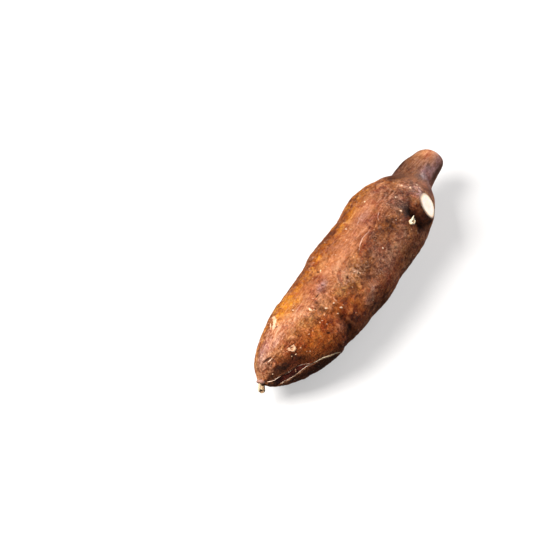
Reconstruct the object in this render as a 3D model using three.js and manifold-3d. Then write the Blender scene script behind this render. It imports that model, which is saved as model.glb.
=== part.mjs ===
// A cassava root, pulled and trimmed: one grown piece, lying on its belly.
// Millimetres, +Z up. X runs from the tail (-X) to the neck (+X), where the root left its stem.
// The belly rests on Z = 0, and the origin is the centre of the root's footprint box.

import * as THREE from "three";
import { mergeVertices } from "three/addons/utils/BufferGeometryUtils.js";
import Module from "manifold-3d";

const wasm = await Module();
wasm.setup();

// Driving dimensions.
const BODY_LENGTH = 234;
// The origin's place, from the nose and from the line that the stations below are measured from.
const TAIL_TO_ORIGIN = 114.9;
const SIDE_TO_ORIGIN = 0.15;

// The root's girth and the path of its middle, at a few places along it.
// along: distance from the nose of the tail. wide, tall: half width and half height.
// aside: how far the middle lies towards +Y. up: height of the middle.
const GROWTH = [
  { along: 0, wide: 0, tall: 0, aside: 3.6, up: 25.0 },
  { along: 11, wide: 15.2, tall: 14.6, aside: 2.6, up: 26.0 },
  { along: 24, wide: 21.6, tall: 20.6, aside: 0.8, up: 27.4 },
  { along: 42, wide: 27.0, tall: 25.8, aside: -1.2, up: 29.0 },
  { along: 62, wide: 30.0, tall: 28.8, aside: -2.8, up: 29.6 },
  { along: 80, wide: 31.0, tall: 29.8, aside: -3.2, up: 29.8 },
  { along: 104, wide: 33.2, tall: 31.6, aside: -2.4, up: 30.4 },
  { along: 135, wide: 32.8, tall: 31.5, aside: -0.4, up: 30.5 },
  { along: 163, wide: 32.8, tall: 31.2, aside: 0.4, up: 30.7 },
  { along: 184, wide: 27.6, tall: 26.8, aside: -0.4, up: 31.4 },
  { along: 198, wide: 20.6, tall: 20.0, aside: 1.2, up: 32.4 },
  { along: 207, wide: 16.3, tall: 15.8, aside: 3.2, up: 33.0 },
  { along: 217, wide: 14.3, tall: 13.8, aside: 4.0, up: 33.6 },
  { along: BODY_LENGTH, wide: 11.6, tall: 11.4, aside: 3.6, up: 34.0 },
];

// The skin's net: rings along the root, closer together over the round nose, and sides round it.
const NOSE_LENGTH = 27;
const NOSE_RINGS = 11;
const BARREL_RINGS = 72;
const RIM_RINGS = [0.45, 0.8, 1];
const SIDES = 44;

// The neck's cut end: it leans, and its rim is worn round.
const CUT_LEAN_UP = 0.1;
const CUT_LEAN_SIDE = -0.16;
const CUT_LEAN_LENGTH = 26;
const RIM_ROUND = 3.2;
const RIM_INSET = 2.4;

// Places on the skin. along: from the nose. turn: degrees round the girth, from +Y over the top to -Y.
// reach: how far out from the middle. toNeck: degrees that a piece leans towards the neck.

// A side stump, sawn off flat, on the shoulder beside the neck. The bark mounds up to its face.
const STUMP = { along: 183, turn: 138, reach: 30, toNeck: 26 };
const STUMP_RADIUS = 9.2;
const STUMP_FOOT_RADIUS = 10.4;
const STUMP_DEPTH = 14;
const STUMP_SIDES = 28;
const MOUND = { rise: 5.5, spread: 13, slope: 0.35, belowFace: 0.5, fadeFrom: 10.5, fadeTo: 19 };

// Rootlets broken off short: one in the hollow below the stump, two more on the far side.
const ROOTLETS = [
  { along: 160.5, turn: 131, reach: 35, toNeck: 4, length: 8, radius: 2.2 },
  { along: 189, turn: 334, reach: 27.6, toNeck: 18, length: 7, radius: 1.6 },
  { along: 54, turn: 316, reach: 29.4, toNeck: -24, length: 7, radius: 1.9 },
];
const ROOTLET_SIDES = 12;

// The thin root that the tail ran on into, broken off near the nose.
const TAIL_TIP = { foot: [3.0, 5.3, 25.7], end: [-4.6, 0.4, 21.4], radius: 2.6 };

// Hollows and swellings of the bark: where each is, how far it spreads along the root and, as width,
// in degrees round it, and how high it rises.
const DIMPLES = [
  { along: 169, turn: 134, length: 6, width: 17, rise: -5.0 },
  { along: 64, turn: 200, length: 11, width: 28, rise: -3.4 },
  { along: 66, turn: 330, length: 9, width: 26, rise: -1.6 },
  { along: 126, turn: 60, length: 16, width: 26, rise: -1.0 },
  { along: 128, turn: 350, length: 14, width: 22, rise: -1.5 },
  { along: 50, turn: 148, length: 9, width: 30, rise: 1.4 },
  { along: 161, turn: 24, length: 11, width: 30, rise: 1.9 },
  { along: 206, turn: 300, length: 7, width: 40, rise: 1.6 },
  { along: 49, turn: 34, length: 11, width: 24, rise: 1.6 },
  { along: 101, turn: 30, length: 10, width: 26, rise: 1.0 },
  { along: 93, turn: 180, length: 18, width: 28, rise: -2.6 },
  { along: 177, turn: 30, length: 7, width: 34, rise: 1.3 },
  { along: 189, turn: 32, length: 5, width: 34, rise: 1.0 },
  { along: 199, turn: 38, length: 4.5, width: 34, rise: -1.5 },
  { along: 213, turn: 30, length: 9, width: 44, rise: 1.2 },
  { along: 199, turn: 165, length: 7, width: 34, rise: 1.8 },
];

// Growth creases: shallow valleys round the girth. Each wanders along the root, by wander, at one turn.
const CREASES = [
  { along: 54, wander: 11, turn: 140, spread: 40, length: 4.4, depth: 1.7, least: 0.5 },
  { along: 92, wander: 13, turn: 140, spread: 45, length: 5.5, depth: 0.7, least: 0.4 },
  { along: 140, wander: -8, turn: 210, spread: 50, length: 6.5, depth: 0.5, least: 0.5 },
];

// Uneven growth: long, low lobes, so many round the girth, that twist slowly along the root.
const LOBES = [
  { swell: 0.018, round: 2, twist: 46, start: 0 },
  { swell: 0.012, round: 3, twist: -33, start: 1 },
  { swell: 0.008, round: 5, twist: 21, start: 2 },
];

// The nose is smooth and round as far back as this.
const SMOOTH_NOSE = 30;

const degrees = THREE.MathUtils.degToRad;

// Squared radii grow evenly from the nose, so the tail comes out round.
const growth = new THREE.CubicInterpolant(
  GROWTH.map((place) => place.along),
  GROWTH.flatMap(({ wide, tall, aside, up }) => [wide ** 2, tall ** 2, aside, up]),
  4,
);

function hump(distance, spread) {
  return Math.exp(-((distance / spread) ** 2));
}

function turnBetween(turn, other) {
  return THREE.MathUtils.euclideanModulo(turn - other + 180, 360) - 180;
}

function rise(along, turn) {
  let height = 0;
  for (const dimple of DIMPLES) {
    const round = hump(turnBetween(turn, dimple.turn), dimple.width);
    height += dimple.rise * round * hump(along - dimple.along, dimple.length);
  }
  for (const crease of CREASES) {
    const near = hump(turnBetween(turn, crease.turn), crease.spread);
    const valley = crease.along + crease.wander * near;
    const depth = crease.least + (crease.depth - crease.least) * near;
    height -= depth * hump(along - valley, crease.length);
  }
  return height;
}

// The share by which the lobes swell or draw in the girth at one place.
function lobes(along, turn) {
  const angle = degrees(turn);
  return LOBES.reduce(
    (sum, { swell, round, twist, start }) => sum + swell * Math.sin(round * angle + along / twist + start),
    0,
  );
}

// The end of a piece that stands on the skin, and the way that it grew.
function standing({ along, turn, reach, toNeck }) {
  const [, , aside, up] = growth.evaluate(along);
  const angle = degrees(turn);
  const lean = degrees(toNeck);
  const out = new THREE.Vector3(0, Math.cos(angle), Math.sin(angle));
  const end = new THREE.Vector3(along, aside, up).addScaledVector(out, reach);
  const way = out.multiplyScalar(Math.cos(lean)).setX(Math.sin(lean));
  return { end, way };
}

const stump = standing(STUMP);
const stumpPlane = new THREE.Plane().setFromNormalAndCoplanarPoint(stump.way, stump.end);

// The mound's bark slopes away from the rim of the stump's face, and never stands above it.
function trimToMound(point) {
  const above = stumpPlane.distanceToPoint(point);
  const fromAxis = Math.sqrt(Math.max(point.distanceToSquared(stump.end) - above ** 2, 0));
  const highest = -MOUND.belowFace - MOUND.slope * Math.max(fromAxis - STUMP_RADIUS, 0);
  const hold = 1 - THREE.MathUtils.smoothstep(fromAxis, MOUND.fadeFrom, MOUND.fadeTo);
  point.addScaledVector(stumpPlane.normal, hold * Math.min(highest - above, 0));
}

// One point of the bark.
function barkPoint(along, turn) {
  const [wideSquared, tallSquared, aside, up] = growth.evaluate(along);
  const wide = Math.sqrt(Math.max(wideSquared, 0));
  const tall = Math.sqrt(Math.max(tallSquared, 0));
  const fullness = THREE.MathUtils.smoothstep(along, 0, SMOOTH_NOSE);
  const swell = 1 + fullness * lobes(along, turn);
  let proud = fullness * rise(along, turn);

  // The bark swells up round the stump.
  const besideStump = ((wide + tall) / 2) * degrees(turnBetween(turn, STUMP.turn));
  proud += MOUND.rise * hump(Math.hypot(along - STUMP.along, besideStump), MOUND.spread);

  // The rim of the neck's cut is worn in.
  const toCut = BODY_LENGTH - along;
  if (toCut < RIM_ROUND) {
    const worn = 1 - toCut / RIM_ROUND;
    proud -= RIM_INSET * (1 - Math.sqrt(1 - worn ** 2));
  }
  const angle = degrees(turn);
  const point = new THREE.Vector3(
    along,
    aside + (wide * swell + proud) * Math.cos(angle),
    up + (tall * swell + proud) * Math.sin(angle),
  );
  trimToMound(point);

  // The neck's cut leans, and the belly is flat where it lies.
  const lean = THREE.MathUtils.smoothstep(along, BODY_LENGTH - CUT_LEAN_LENGTH, BODY_LENGTH);
  point.x += lean * (CUT_LEAN_UP * (point.z - up) + CUT_LEAN_SIDE * (point.y - aside));
  point.z = Math.max(point.z, 0);
  return point;
}

// How far along each ring lies.
function ringPlaces() {
  const barrelEnd = BODY_LENGTH - RIM_ROUND;
  const barrelStep = (barrelEnd - NOSE_LENGTH) / BARREL_RINGS;
  const places = [];
  for (let ring = 1; ring <= NOSE_RINGS; ring += 1) {
    places.push(NOSE_LENGTH * (ring / NOSE_RINGS) ** 2);
  }
  for (let ring = 1; ring <= BARREL_RINGS; ring += 1) {
    places.push(NOSE_LENGTH + ring * barrelStep);
  }
  for (const share of RIM_RINGS) {
    places.push(barrelEnd + share * RIM_ROUND);
  }
  return places;
}

// The bark as one closed skin: rings of points, with a fan over the nose and over the cut.
function barkGeometry() {
  const places = ringPlaces();
  const points = [];
  for (const along of places) {
    for (let side = 0; side < SIDES; side += 1) {
      points.push(barkPoint(along, (360 * side) / SIDES));
    }
  }
  const faces = [];
  for (let ring = 0; ring < places.length - 1; ring += 1) {
    for (let side = 0; side < SIDES; side += 1) {
      const next = (side + 1) % SIDES;
      const a = ring * SIDES + side;
      const b = ring * SIDES + next;
      faces.push(a, b, a + SIDES, b, b + SIDES, a + SIDES);
    }
  }
  const nose = points.length;
  points.push(barkPoint(0, 0));
  const lastRing = (places.length - 1) * SIDES;
  const heart = new THREE.Vector3();
  for (let side = 0; side < SIDES; side += 1) {
    heart.addScaledVector(points[lastRing + side], 1 / SIDES);
  }
  points.push(heart);
  for (let side = 0; side < SIDES; side += 1) {
    const next = (side + 1) % SIDES;
    faces.push(nose, next, side);
    faces.push(nose + 1, lastRing + side, lastRing + next);
  }
  const geometry = new THREE.BufferGeometry().setFromPoints(points);
  geometry.setIndex(faces);
  return geometry;
}

// A solid turned round the way that it grew, from a profile of [radius, distance from its foot].
function turnedGeometry(foot, way, profile, sides) {
  const geometry = new THREE.LatheGeometry(
    profile.map(([radius, distance]) => new THREE.Vector2(radius, distance)),
    sides,
  );
  const upright = new THREE.Vector3(0, 1, 0);
  geometry.applyQuaternion(new THREE.Quaternion().setFromUnitVectors(upright, way));
  geometry.translate(foot.x, foot.y, foot.z);
  return geometry;
}

// The stump: a peg with a slightly wider foot and a flat sawn face.
function stumpGeometry() {
  const foot = stump.end.clone().addScaledVector(stump.way, -STUMP_DEPTH);
  const profile = [
    [0, 0],
    [STUMP_FOOT_RADIUS, 0],
    [STUMP_RADIUS, STUMP_DEPTH],
    [0, STUMP_DEPTH],
  ];
  return turnedGeometry(foot, stump.way, profile, STUMP_SIDES);
}

// A broken rootlet: a short waisted peg with a flared, blunt end and a sunken heart.
// The outline's points are shares of the rootlet's radius and of its length.
function rootletGeometry(foot, way, length, radius) {
  const outline = [[0, 0], [1.3, 0], [0.95, 0.55], [1, 0.86], [0.84, 1], [0, 0.96]];
  const profile = outline.map(([out, share]) => [out * radius, share * length]);
  return turnedGeometry(foot, way, profile, ROOTLET_SIDES);
}

function sideRootletGeometry(place) {
  const { end, way } = standing(place);
  const foot = end.clone().addScaledVector(way, -place.length);
  return rootletGeometry(foot, way, place.length, place.radius);
}

function tailTipGeometry() {
  const foot = new THREE.Vector3(...TAIL_TIP.foot);
  const way = new THREE.Vector3(...TAIL_TIP.end).sub(foot);
  const length = way.length();
  return rootletGeometry(foot, way.normalize(), length, TAIL_TIP.radius);
}

const MERGE_WITHIN = 1e-4;

// A closed mesh with its shared points merged, as a solid that can be joined.
function toSolid(geometry) {
  const bare = geometry.clone();
  bare.deleteAttribute("normal");
  bare.deleteAttribute("uv");
  const merged = mergeVertices(bare, MERGE_WITHIN);
  const vertProperties = new Float32Array(merged.attributes.position.array);
  const triVerts = new Uint32Array(merged.index.array);
  return new wasm.Manifold(new wasm.Mesh({ numProp: 3, vertProperties, triVerts }));
}

function toGeometry(solid) {
  const { vertProperties, triVerts } = solid.getMesh();
  const geometry = new THREE.BufferGeometry();
  geometry.setAttribute("position", new THREE.BufferAttribute(vertProperties, 3));
  geometry.setIndex(new THREE.BufferAttribute(triVerts, 1));
  return geometry;
}

const pegs = [stumpGeometry(), tailTipGeometry(), ...ROOTLETS.map(sideRootletGeometry)];
const solid = pegs.reduce((grown, peg) => grown.add(toSolid(peg)), toSolid(barkGeometry()));
const rootGeometry = toGeometry(solid);
rootGeometry.translate(-TAIL_TO_ORIGIN, SIDE_TO_ORIGIN, 0);
rootGeometry.computeVertexNormals();

const bark = new THREE.MeshStandardMaterial({ color: 0x8a5233, roughness: 0.55, metalness: 0 });
const root = new THREE.Mesh(rootGeometry, bark);
root.name = "cassava_root";

const part = new THREE.Group();
part.add(root);

export default part;
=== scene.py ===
"""A cassava root: bark, cut ends, broken rootlets, scars and loose skin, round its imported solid."""

import math

import bpy
import numpy as np
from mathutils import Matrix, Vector, noise


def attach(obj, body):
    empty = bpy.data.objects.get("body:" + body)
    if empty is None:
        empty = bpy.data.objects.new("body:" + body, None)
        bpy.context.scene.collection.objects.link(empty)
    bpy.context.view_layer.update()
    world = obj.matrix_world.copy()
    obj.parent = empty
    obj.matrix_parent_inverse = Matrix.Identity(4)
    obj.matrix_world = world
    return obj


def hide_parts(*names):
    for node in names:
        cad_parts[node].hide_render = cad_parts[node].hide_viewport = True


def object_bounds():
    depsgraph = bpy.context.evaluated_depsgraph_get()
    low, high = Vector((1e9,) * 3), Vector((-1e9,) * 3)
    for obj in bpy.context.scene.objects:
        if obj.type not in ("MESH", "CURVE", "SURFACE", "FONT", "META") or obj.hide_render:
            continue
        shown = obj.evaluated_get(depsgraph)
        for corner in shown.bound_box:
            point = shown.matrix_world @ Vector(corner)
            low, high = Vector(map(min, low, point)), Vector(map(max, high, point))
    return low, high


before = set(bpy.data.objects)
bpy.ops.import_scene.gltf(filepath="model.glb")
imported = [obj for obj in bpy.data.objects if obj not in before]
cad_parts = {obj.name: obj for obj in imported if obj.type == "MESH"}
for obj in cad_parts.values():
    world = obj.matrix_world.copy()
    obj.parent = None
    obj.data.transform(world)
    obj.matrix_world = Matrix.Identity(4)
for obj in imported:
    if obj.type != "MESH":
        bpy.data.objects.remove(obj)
cad_low, cad_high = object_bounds()


# THE BODY
# The storage root itself: starchy flesh that swelled inside a thin corky bark. It has a round
# nose at the tail, a full belly, and shoulders that draw in to a woody neck. It grew as one piece.

BODY_LENGTH = 234.0
TAIL_TO_ORIGIN = 114.9
SIDE_TO_ORIGIN = 0.15
origin_shift = np.array([-TAIL_TO_ORIGIN, SIDE_TO_ORIGIN, 0])

# Along the root from the nose, half width, half height, middle's place aside and up.
GROWTH = np.array([
    (0, 0, 0, 3.6, 25.0),
    (11, 15.2, 14.6, 2.6, 26.0),
    (24, 21.6, 20.6, 0.8, 27.4),
    (42, 27.0, 25.8, -1.2, 29.0),
    (62, 30.0, 28.8, -2.8, 29.6),
    (80, 31.0, 29.8, -3.2, 29.8),
    (104, 33.2, 31.6, -2.4, 30.4),
    (135, 32.8, 31.5, -0.4, 30.5),
    (163, 32.8, 31.2, 0.4, 30.7),
    (184, 27.6, 26.8, -0.4, 31.4),
    (198, 20.6, 20.0, 1.2, 32.4),
    (207, 16.3, 15.8, 3.2, 33.0),
    (217, 14.3, 13.8, 4.0, 33.6),
    (234, 11.6, 11.4, 3.6, 34.0),
])

# Hollows and swellings: along, turn, length, width in degrees, rise. Turn goes from +Y over the top.
DIMPLES = [
    (169, 134, 6, 17, -5.0),
    (64, 200, 11, 28, -3.4),
    (66, 330, 9, 26, -1.6),
    (126, 60, 16, 26, -1.0),
    (128, 350, 14, 22, -1.5),
    (50, 148, 9, 30, 1.4),
    (161, 24, 11, 30, 1.9),
    (206, 300, 7, 40, 1.6),
    (49, 34, 11, 24, 1.6),
    (101, 30, 10, 26, 1.0),
    (93, 180, 18, 28, -2.6),
    (177, 30, 7, 34, 1.3),
    (189, 32, 5, 34, 1.0),
    (199, 38, 4.5, 34, -1.5),
    (213, 30, 9, 44, 1.2),
    (199, 165, 7, 34, 1.8),
]

# Growth creases round the girth: along, wander, turn, spread, length, depth, least depth.
CREASES = [
    (54, 11, 140, 40, 4.4, 1.7, 0.5),
    (92, 13, 140, 45, 5.5, 0.7, 0.4),
    (140, -8, 210, 50, 6.5, 0.5, 0.5),
]

# The side stump: where the middle of its face is, how far it leans to the neck, and its mound.
STUMP_ALONG, STUMP_TURN, STUMP_REACH, STUMP_LEAN = 183, 138, 30, 26
STUMP_RADIUS = 9.2
MOUND_RISE, MOUND_SPREAD, MOUND_SLOPE = 5.5, 13, 0.35
RIM_ROUND, RIM_INSET = 3.2, 2.4
MOUND_FOOT, MOUND_SHOULDER = -26, -18
CUT_LEAN_UP, CUT_LEAN_SIDE, CUT_LEAN_LENGTH = 0.1, -0.16, 26


def smooth_through(places, values, at):
    """Values between given places, on the cubic curve through them."""
    places = np.asarray(places, float)
    values = np.asarray(values, float).reshape(len(places), -1)
    at = np.clip(at, places[0], places[-1])
    now = np.clip(np.searchsorted(places, at, "right") - 1, 0, len(places) - 2)
    before = np.where(now > 0, now - 1, now + 1)
    after = np.where(now < len(places) - 2, now + 2, now)
    gap = places[now + 1] - places[now]
    p = (at - places[now]) / gap
    wp = gap / 2 / (places[now] - places[before])
    wn = gap / 2 / (places[after] - places[now + 1])
    shares = (
        -wp * p**3 + 2 * wp * p**2 - wp * p,
        (1 + wp) * p**3 - (1.5 + 2 * wp) * p**2 + (wp - 0.5) * p + 1,
        (-1 - wn) * p**3 + (1.5 + wn) * p**2 + 0.5 * p,
        wn * p**3 - wn * p**2,
    )
    rows = (before, now, now + 1, after)
    return sum(share[:, None] * values[row] for share, row in zip(shares, rows))


def growth(along):
    squares = GROWTH[:, 1:].copy()
    squares[:, :2] **= 2
    wide, tall, aside, up = smooth_through(GROWTH[:, 0], squares, along).T
    return np.sqrt(np.maximum(wide, 0)), np.sqrt(np.maximum(tall, 0)), aside, up


def hump(distance, spread):
    return np.exp(-((distance / spread) ** 2))


def ease(value, low, high):
    share = np.clip((value - low) / (high - low), 0, 1)
    return share * share * (3 - 2 * share)


def turn_between(turn, other):
    return (turn - other + 180) % 360 - 180


def spots(along, turn, places):
    """Sum of soft round spots on the skin: along, turn, length, width in degrees, strength."""
    total = np.zeros(len(along))
    for at, side, length, width, strength in places:
        total += strength * hump(along - at, length) * hump(turn_between(turn, side), width)
    return total


def unit(vector):
    return vector / np.linalg.norm(vector)


def square_to(way, towards):
    """The direction square to way that goes most nearly towards."""
    return unit(towards - (towards @ way) * way)


def standing(along, turn, reach, lean):
    """The end of a piece that stands on the skin, and the way that it grew."""
    aside, up = (value[0] for value in growth(np.array([float(along)]))[2:])
    angle, lean = math.radians(turn), math.radians(lean)
    out = np.array([0, math.cos(angle), math.sin(angle)])
    end = np.array([along, aside, up]) + reach * out
    way = out * math.cos(lean) + np.array([math.sin(lean), 0, 0])
    return end, way


stump_end, stump_way = standing(STUMP_ALONG, STUMP_TURN, STUMP_REACH, STUMP_LEAN)

# The bark closes in on one end of the face, so the bare cut is egg-shaped, with its point downhill.
EGG_BREADTH, EGG_NARROWING, EGG_SIZE, EGG_ASIDE = 1.12, 0.36, 1.1, 0.7
face_point = square_to(stump_way, np.array([-0.52, -0.73, -0.44]))
face_side = np.cross(stump_way, face_point)


def beside_stump(points):
    """How far points lie above the stump's face, and from its middle line, as drawn in by the egg."""
    above = (points - stump_end) @ stump_way
    lengthways = (points - stump_end) @ face_point
    sideways = (points - stump_end) @ face_side + EGG_ASIDE
    narrow = EGG_BREADTH - EGG_NARROWING * np.clip((1 + lengthways / STUMP_RADIUS) / 2, 0, 1) ** 2
    return above, np.hypot(lengthways, sideways / narrow) / EGG_SIZE


def body_skin(along, turn):
    """The skin before its fine relief, in mm, in the root's own places."""
    wide, tall, aside, up = growth(along)
    angle = np.radians(turn)
    fullness = ease(along, 0, 30)
    lobes = (
        0.018 * np.sin(2 * angle + along / 46)
        + 0.012 * np.sin(3 * angle - along / 33 + 1)
        + 0.008 * np.sin(5 * angle + along / 21 + 2)
    )
    proud = fullness * spots(along, turn, DIMPLES)
    for place, wander, side, spread, length, depth, least in CREASES:
        near = hump(turn_between(turn, side), spread)
        deep = least + (depth - least) * near
        proud -= fullness * deep * hump(along - place - wander * near, length)
    round_stump = (wide + tall) / 2 * np.radians(turn_between(turn, STUMP_TURN))
    proud += MOUND_RISE * hump(np.hypot(along - STUMP_ALONG, round_stump), MOUND_SPREAD)
    worn = np.clip(1 - (BODY_LENGTH - along) / RIM_ROUND, 0, 1)
    proud -= RIM_INSET * (1 - np.sqrt(1 - worn**2))
    swell = 1 + fullness * lobes
    points = np.stack([
        along,
        aside + (wide * swell + proud) * np.cos(angle),
        up + (tall * swell + proud) * np.sin(angle),
    ], 1)

    # The mound slopes away from the stump's face, and a fillet of bark climbs its sides.
    above, off = beside_stump(points)
    highest = -0.5 - MOUND_SLOPE * np.maximum(off - STUMP_RADIUS, 0)
    above_now = above + (1 - ease(off, 10.5, 19)) * np.minimum(highest - above, 0)
    climbed = -0.35 - 0.1 * np.maximum(off - STUMP_RADIUS, 0) - 1.6 * (1 - ease(off, 7.6, 9.0))
    above_now += (1 - ease(off, 9.3, 13.4)) * np.maximum(climbed - above_now, 0)
    above_now += 0.3 * hump(off - 10.1, 0.8)
    points += (ease(above, MOUND_FOOT, MOUND_SHOULDER) * (above_now - above))[:, None] * stump_way

    lean = ease(along, BODY_LENGTH - CUT_LEAN_LENGTH, BODY_LENGTH)
    points[:, 0] += lean * (CUT_LEAN_UP * (points[:, 2] - up) + CUT_LEAN_SIDE * (points[:, 1] - aside))
    return points


# THE BARK
# Thin corky bark, brown over a paler orange layer. It grew in soil, so it is wrinkled across and
# along, scaly, pitted, and dotted with breathing pores. A split runs back from the nose.

MM = 0.001
SIDES = 256
NOSE_RINGS, TAIL_RINGS, BARREL_RINGS = 70, 78, 226
NOSE_END, TAIL_END = 27.0, 70.0
NOSE_ASIDE, NOSE_UP = 4.2, 25.5
BEHIND_CUT = 0.9

# Kinds of skin: along, turn, length, width in degrees, strength. The skin is wrinkled across, or
# folded lengthwise, or rubbed smooth by the soil, or pitted.
CROSS_FOLDS = [
    (58, 88, 15, 60, 1.0), (64, 150, 9, 35, 0.8), (96, 84, 9, 60, 0.7), (186, 95, 9, 50, 0.7),
    (60, 270, 18, 70, 0.9), (110, 300, 12, 60, 0.6), (150, 240, 12, 50, 0.6),
    (190, 280, 10, 70, 0.8),
]
LONG_FOLDS = [
    (22, 68, 17, 32, 1.0), (52, 74, 16, 16, 0.6), (122, 84, 30, 16, 0.5), (165, 80, 14, 16, 0.5),
    (20, 250, 18, 70, 0.8), (216, 90, 18, 180, 0.35), (8, 110, 8, 60, 0.5), (90, 200, 40, 30, 0.4),
]
WORN_PATCHES = [
    (26, 64, 22, 28, 1.0), (60, 64, 20, 26, 0.9), (104, 70, 28, 28, 1.0), (146, 68, 26, 26, 0.9),
    (90, 330, 50, 24, 0.6),
]
PITTED_PATCHES = [
    (72, 82, 9, 14, 1.0), (96, 102, 9, 18, 1.0), (62, 104, 6, 24, 0.7), (128, 132, 12, 12, 0.9),
    (184, 100, 7, 20, 0.9), (44, 118, 20, 20, 0.6), (84, 116, 14, 18, 0.7), (114, 128, 20, 20, 0.6),
    (142, 110, 12, 16, 0.6), (14, 72, 7, 12, 0.6), (28, 66, 12, 16, 0.35), (96, 60, 7, 8, 0.7),
    (155, 104, 9, 14, 0.5), (110, 250, 16, 26, 1.0), (50, 220, 14, 24, 0.8),
    (160, 320, 16, 26, 0.8), (80, 330, 10, 20, 0.7),
]

rng = np.random.default_rng(11)


def scattered(count, lengths, widths, rises):
    """Marks spread over the skin at random: along, turn, length, width in mm, lean, rise."""
    return np.stack([
        rng.uniform(16, 190, count),
        rng.uniform(0, 360, count),
        rng.uniform(*lengths, count),
        rng.uniform(*widths, count),
        rng.normal(0, 30, count),
        rng.uniform(*rises, count),
    ], 1)


# Breathing pores are low ridges across the root. Pits are where scales of bark came away.
PORES = scattered(170, (0.5, 0.8), (1.2, 2.8), (0.14, 0.3))
PITS = scattered(150, (0.5, 1.1), (0.6, 1.6), (-0.3, -0.12))
NICKS = np.array([
    (10.9, 75.5, 2.9, 0.8, 38, -1.1),
    (66, 82.7, 2.8, 0.6, 0, -0.7),
    (75.6, 79.6, 2.4, 0.5, 40, -0.5),
    (84, 61, 1.0, 2.0, 0, -0.5),
    (48.9, 130.8, 1.2, 0.9, 20, -0.7),
    (22.6, 116.0, 1.0, 1.7, -40, -0.6),
    (32.6, 57.0, 2.5, 0.6, 38, -0.6),
    (32.4, 46.4, 2.6, 0.5, 42, -1.0),
    (90.6, 101.4, 0.8, 1.5, 0, -0.5),
    (92.2, 88.6, 0.7, 1.0, 0, -0.5),
    (98.6, 112, 0.8, 1.6, 20, -0.4),
    (123.2, 57.0, 1.6, 0.6, 0, -0.4),
])

# The skin's split: two lips run back from the nose, and the lower one goes on to the first crease.
LOWER_LIP = np.array([
    (4.7, 199), (6.2, 181), (9, 171), (12, 166.4), (16, 162.4), (20, 157.6), (24, 156), (29, 157.4),
    (35.6, 160.4), (41, 165.2), (46, 169.6), (51, 179), (57, 189), (64, 198),
])
UPPER_LIP = np.array([
    (1.2, 142), (3.9, 147.6), (5.8, 143), (9, 141.4), (13, 143), (18, 141), (22, 145), (27, 154),
])
BARE_END = 25.5


def mm_per_degree(along):
    wide, tall, _, _ = growth(along)
    return np.radians(1) * (wide + tall) / 2


def split_places(along, turn):
    """Distances in mm from the lower and the upper lip, up to larger turns, and the bare band."""
    per_degree = mm_per_degree(along)
    low = turn_between(turn, smooth_through(*LOWER_LIP.T, along)[:, 0]) * per_degree
    high = turn_between(turn, smooth_through(*UPPER_LIP.T, along)[:, 0]) * per_degree
    inside = ease(-low, -0.3, 0.5) * ease(high, -0.3, 0.5) * ease(BARE_END - along, 0, 3)
    return low, high, inside * ease(along, 3.0, 6.0)


def uneven(points, size, octaves, stretch=(1, 1, 1), start=0.0):
    """Smooth random heights, about -1 to 1, in lumps of that size in mm, stretched along x, y, z."""
    scaled = points / (size * np.array(stretch, float)) + start
    return np.array([noise.fractal(Vector(p), 1.0, 2.0, octaves) for p in scaled])


def marks(along, turn, radius, places):
    """Sum of small oval marks: along, turn, length, width in mm, lean in degrees, rise."""
    total = np.zeros(len(along))
    for at, side, length, width, lean, height in places:
        near = np.abs(along - at) < 3 * max(length, width)
        ahead = along[near] - at
        across = np.radians(turn_between(turn[near], side)) * radius[near]
        lengthways = ahead * math.cos(math.radians(lean)) + across * math.sin(math.radians(lean))
        sideways = across * math.cos(math.radians(lean)) - ahead * math.sin(math.radians(lean))
        total[near] += height * hump(lengthways, length) * hump(sideways, width)
    return total


def on_neck(along, turn):
    """How far places are onto the neck, whose smoother bark starts along a slanting line."""
    return ease(along - 5 * np.sin(np.radians(turn - 60)), 185, 196)


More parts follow.
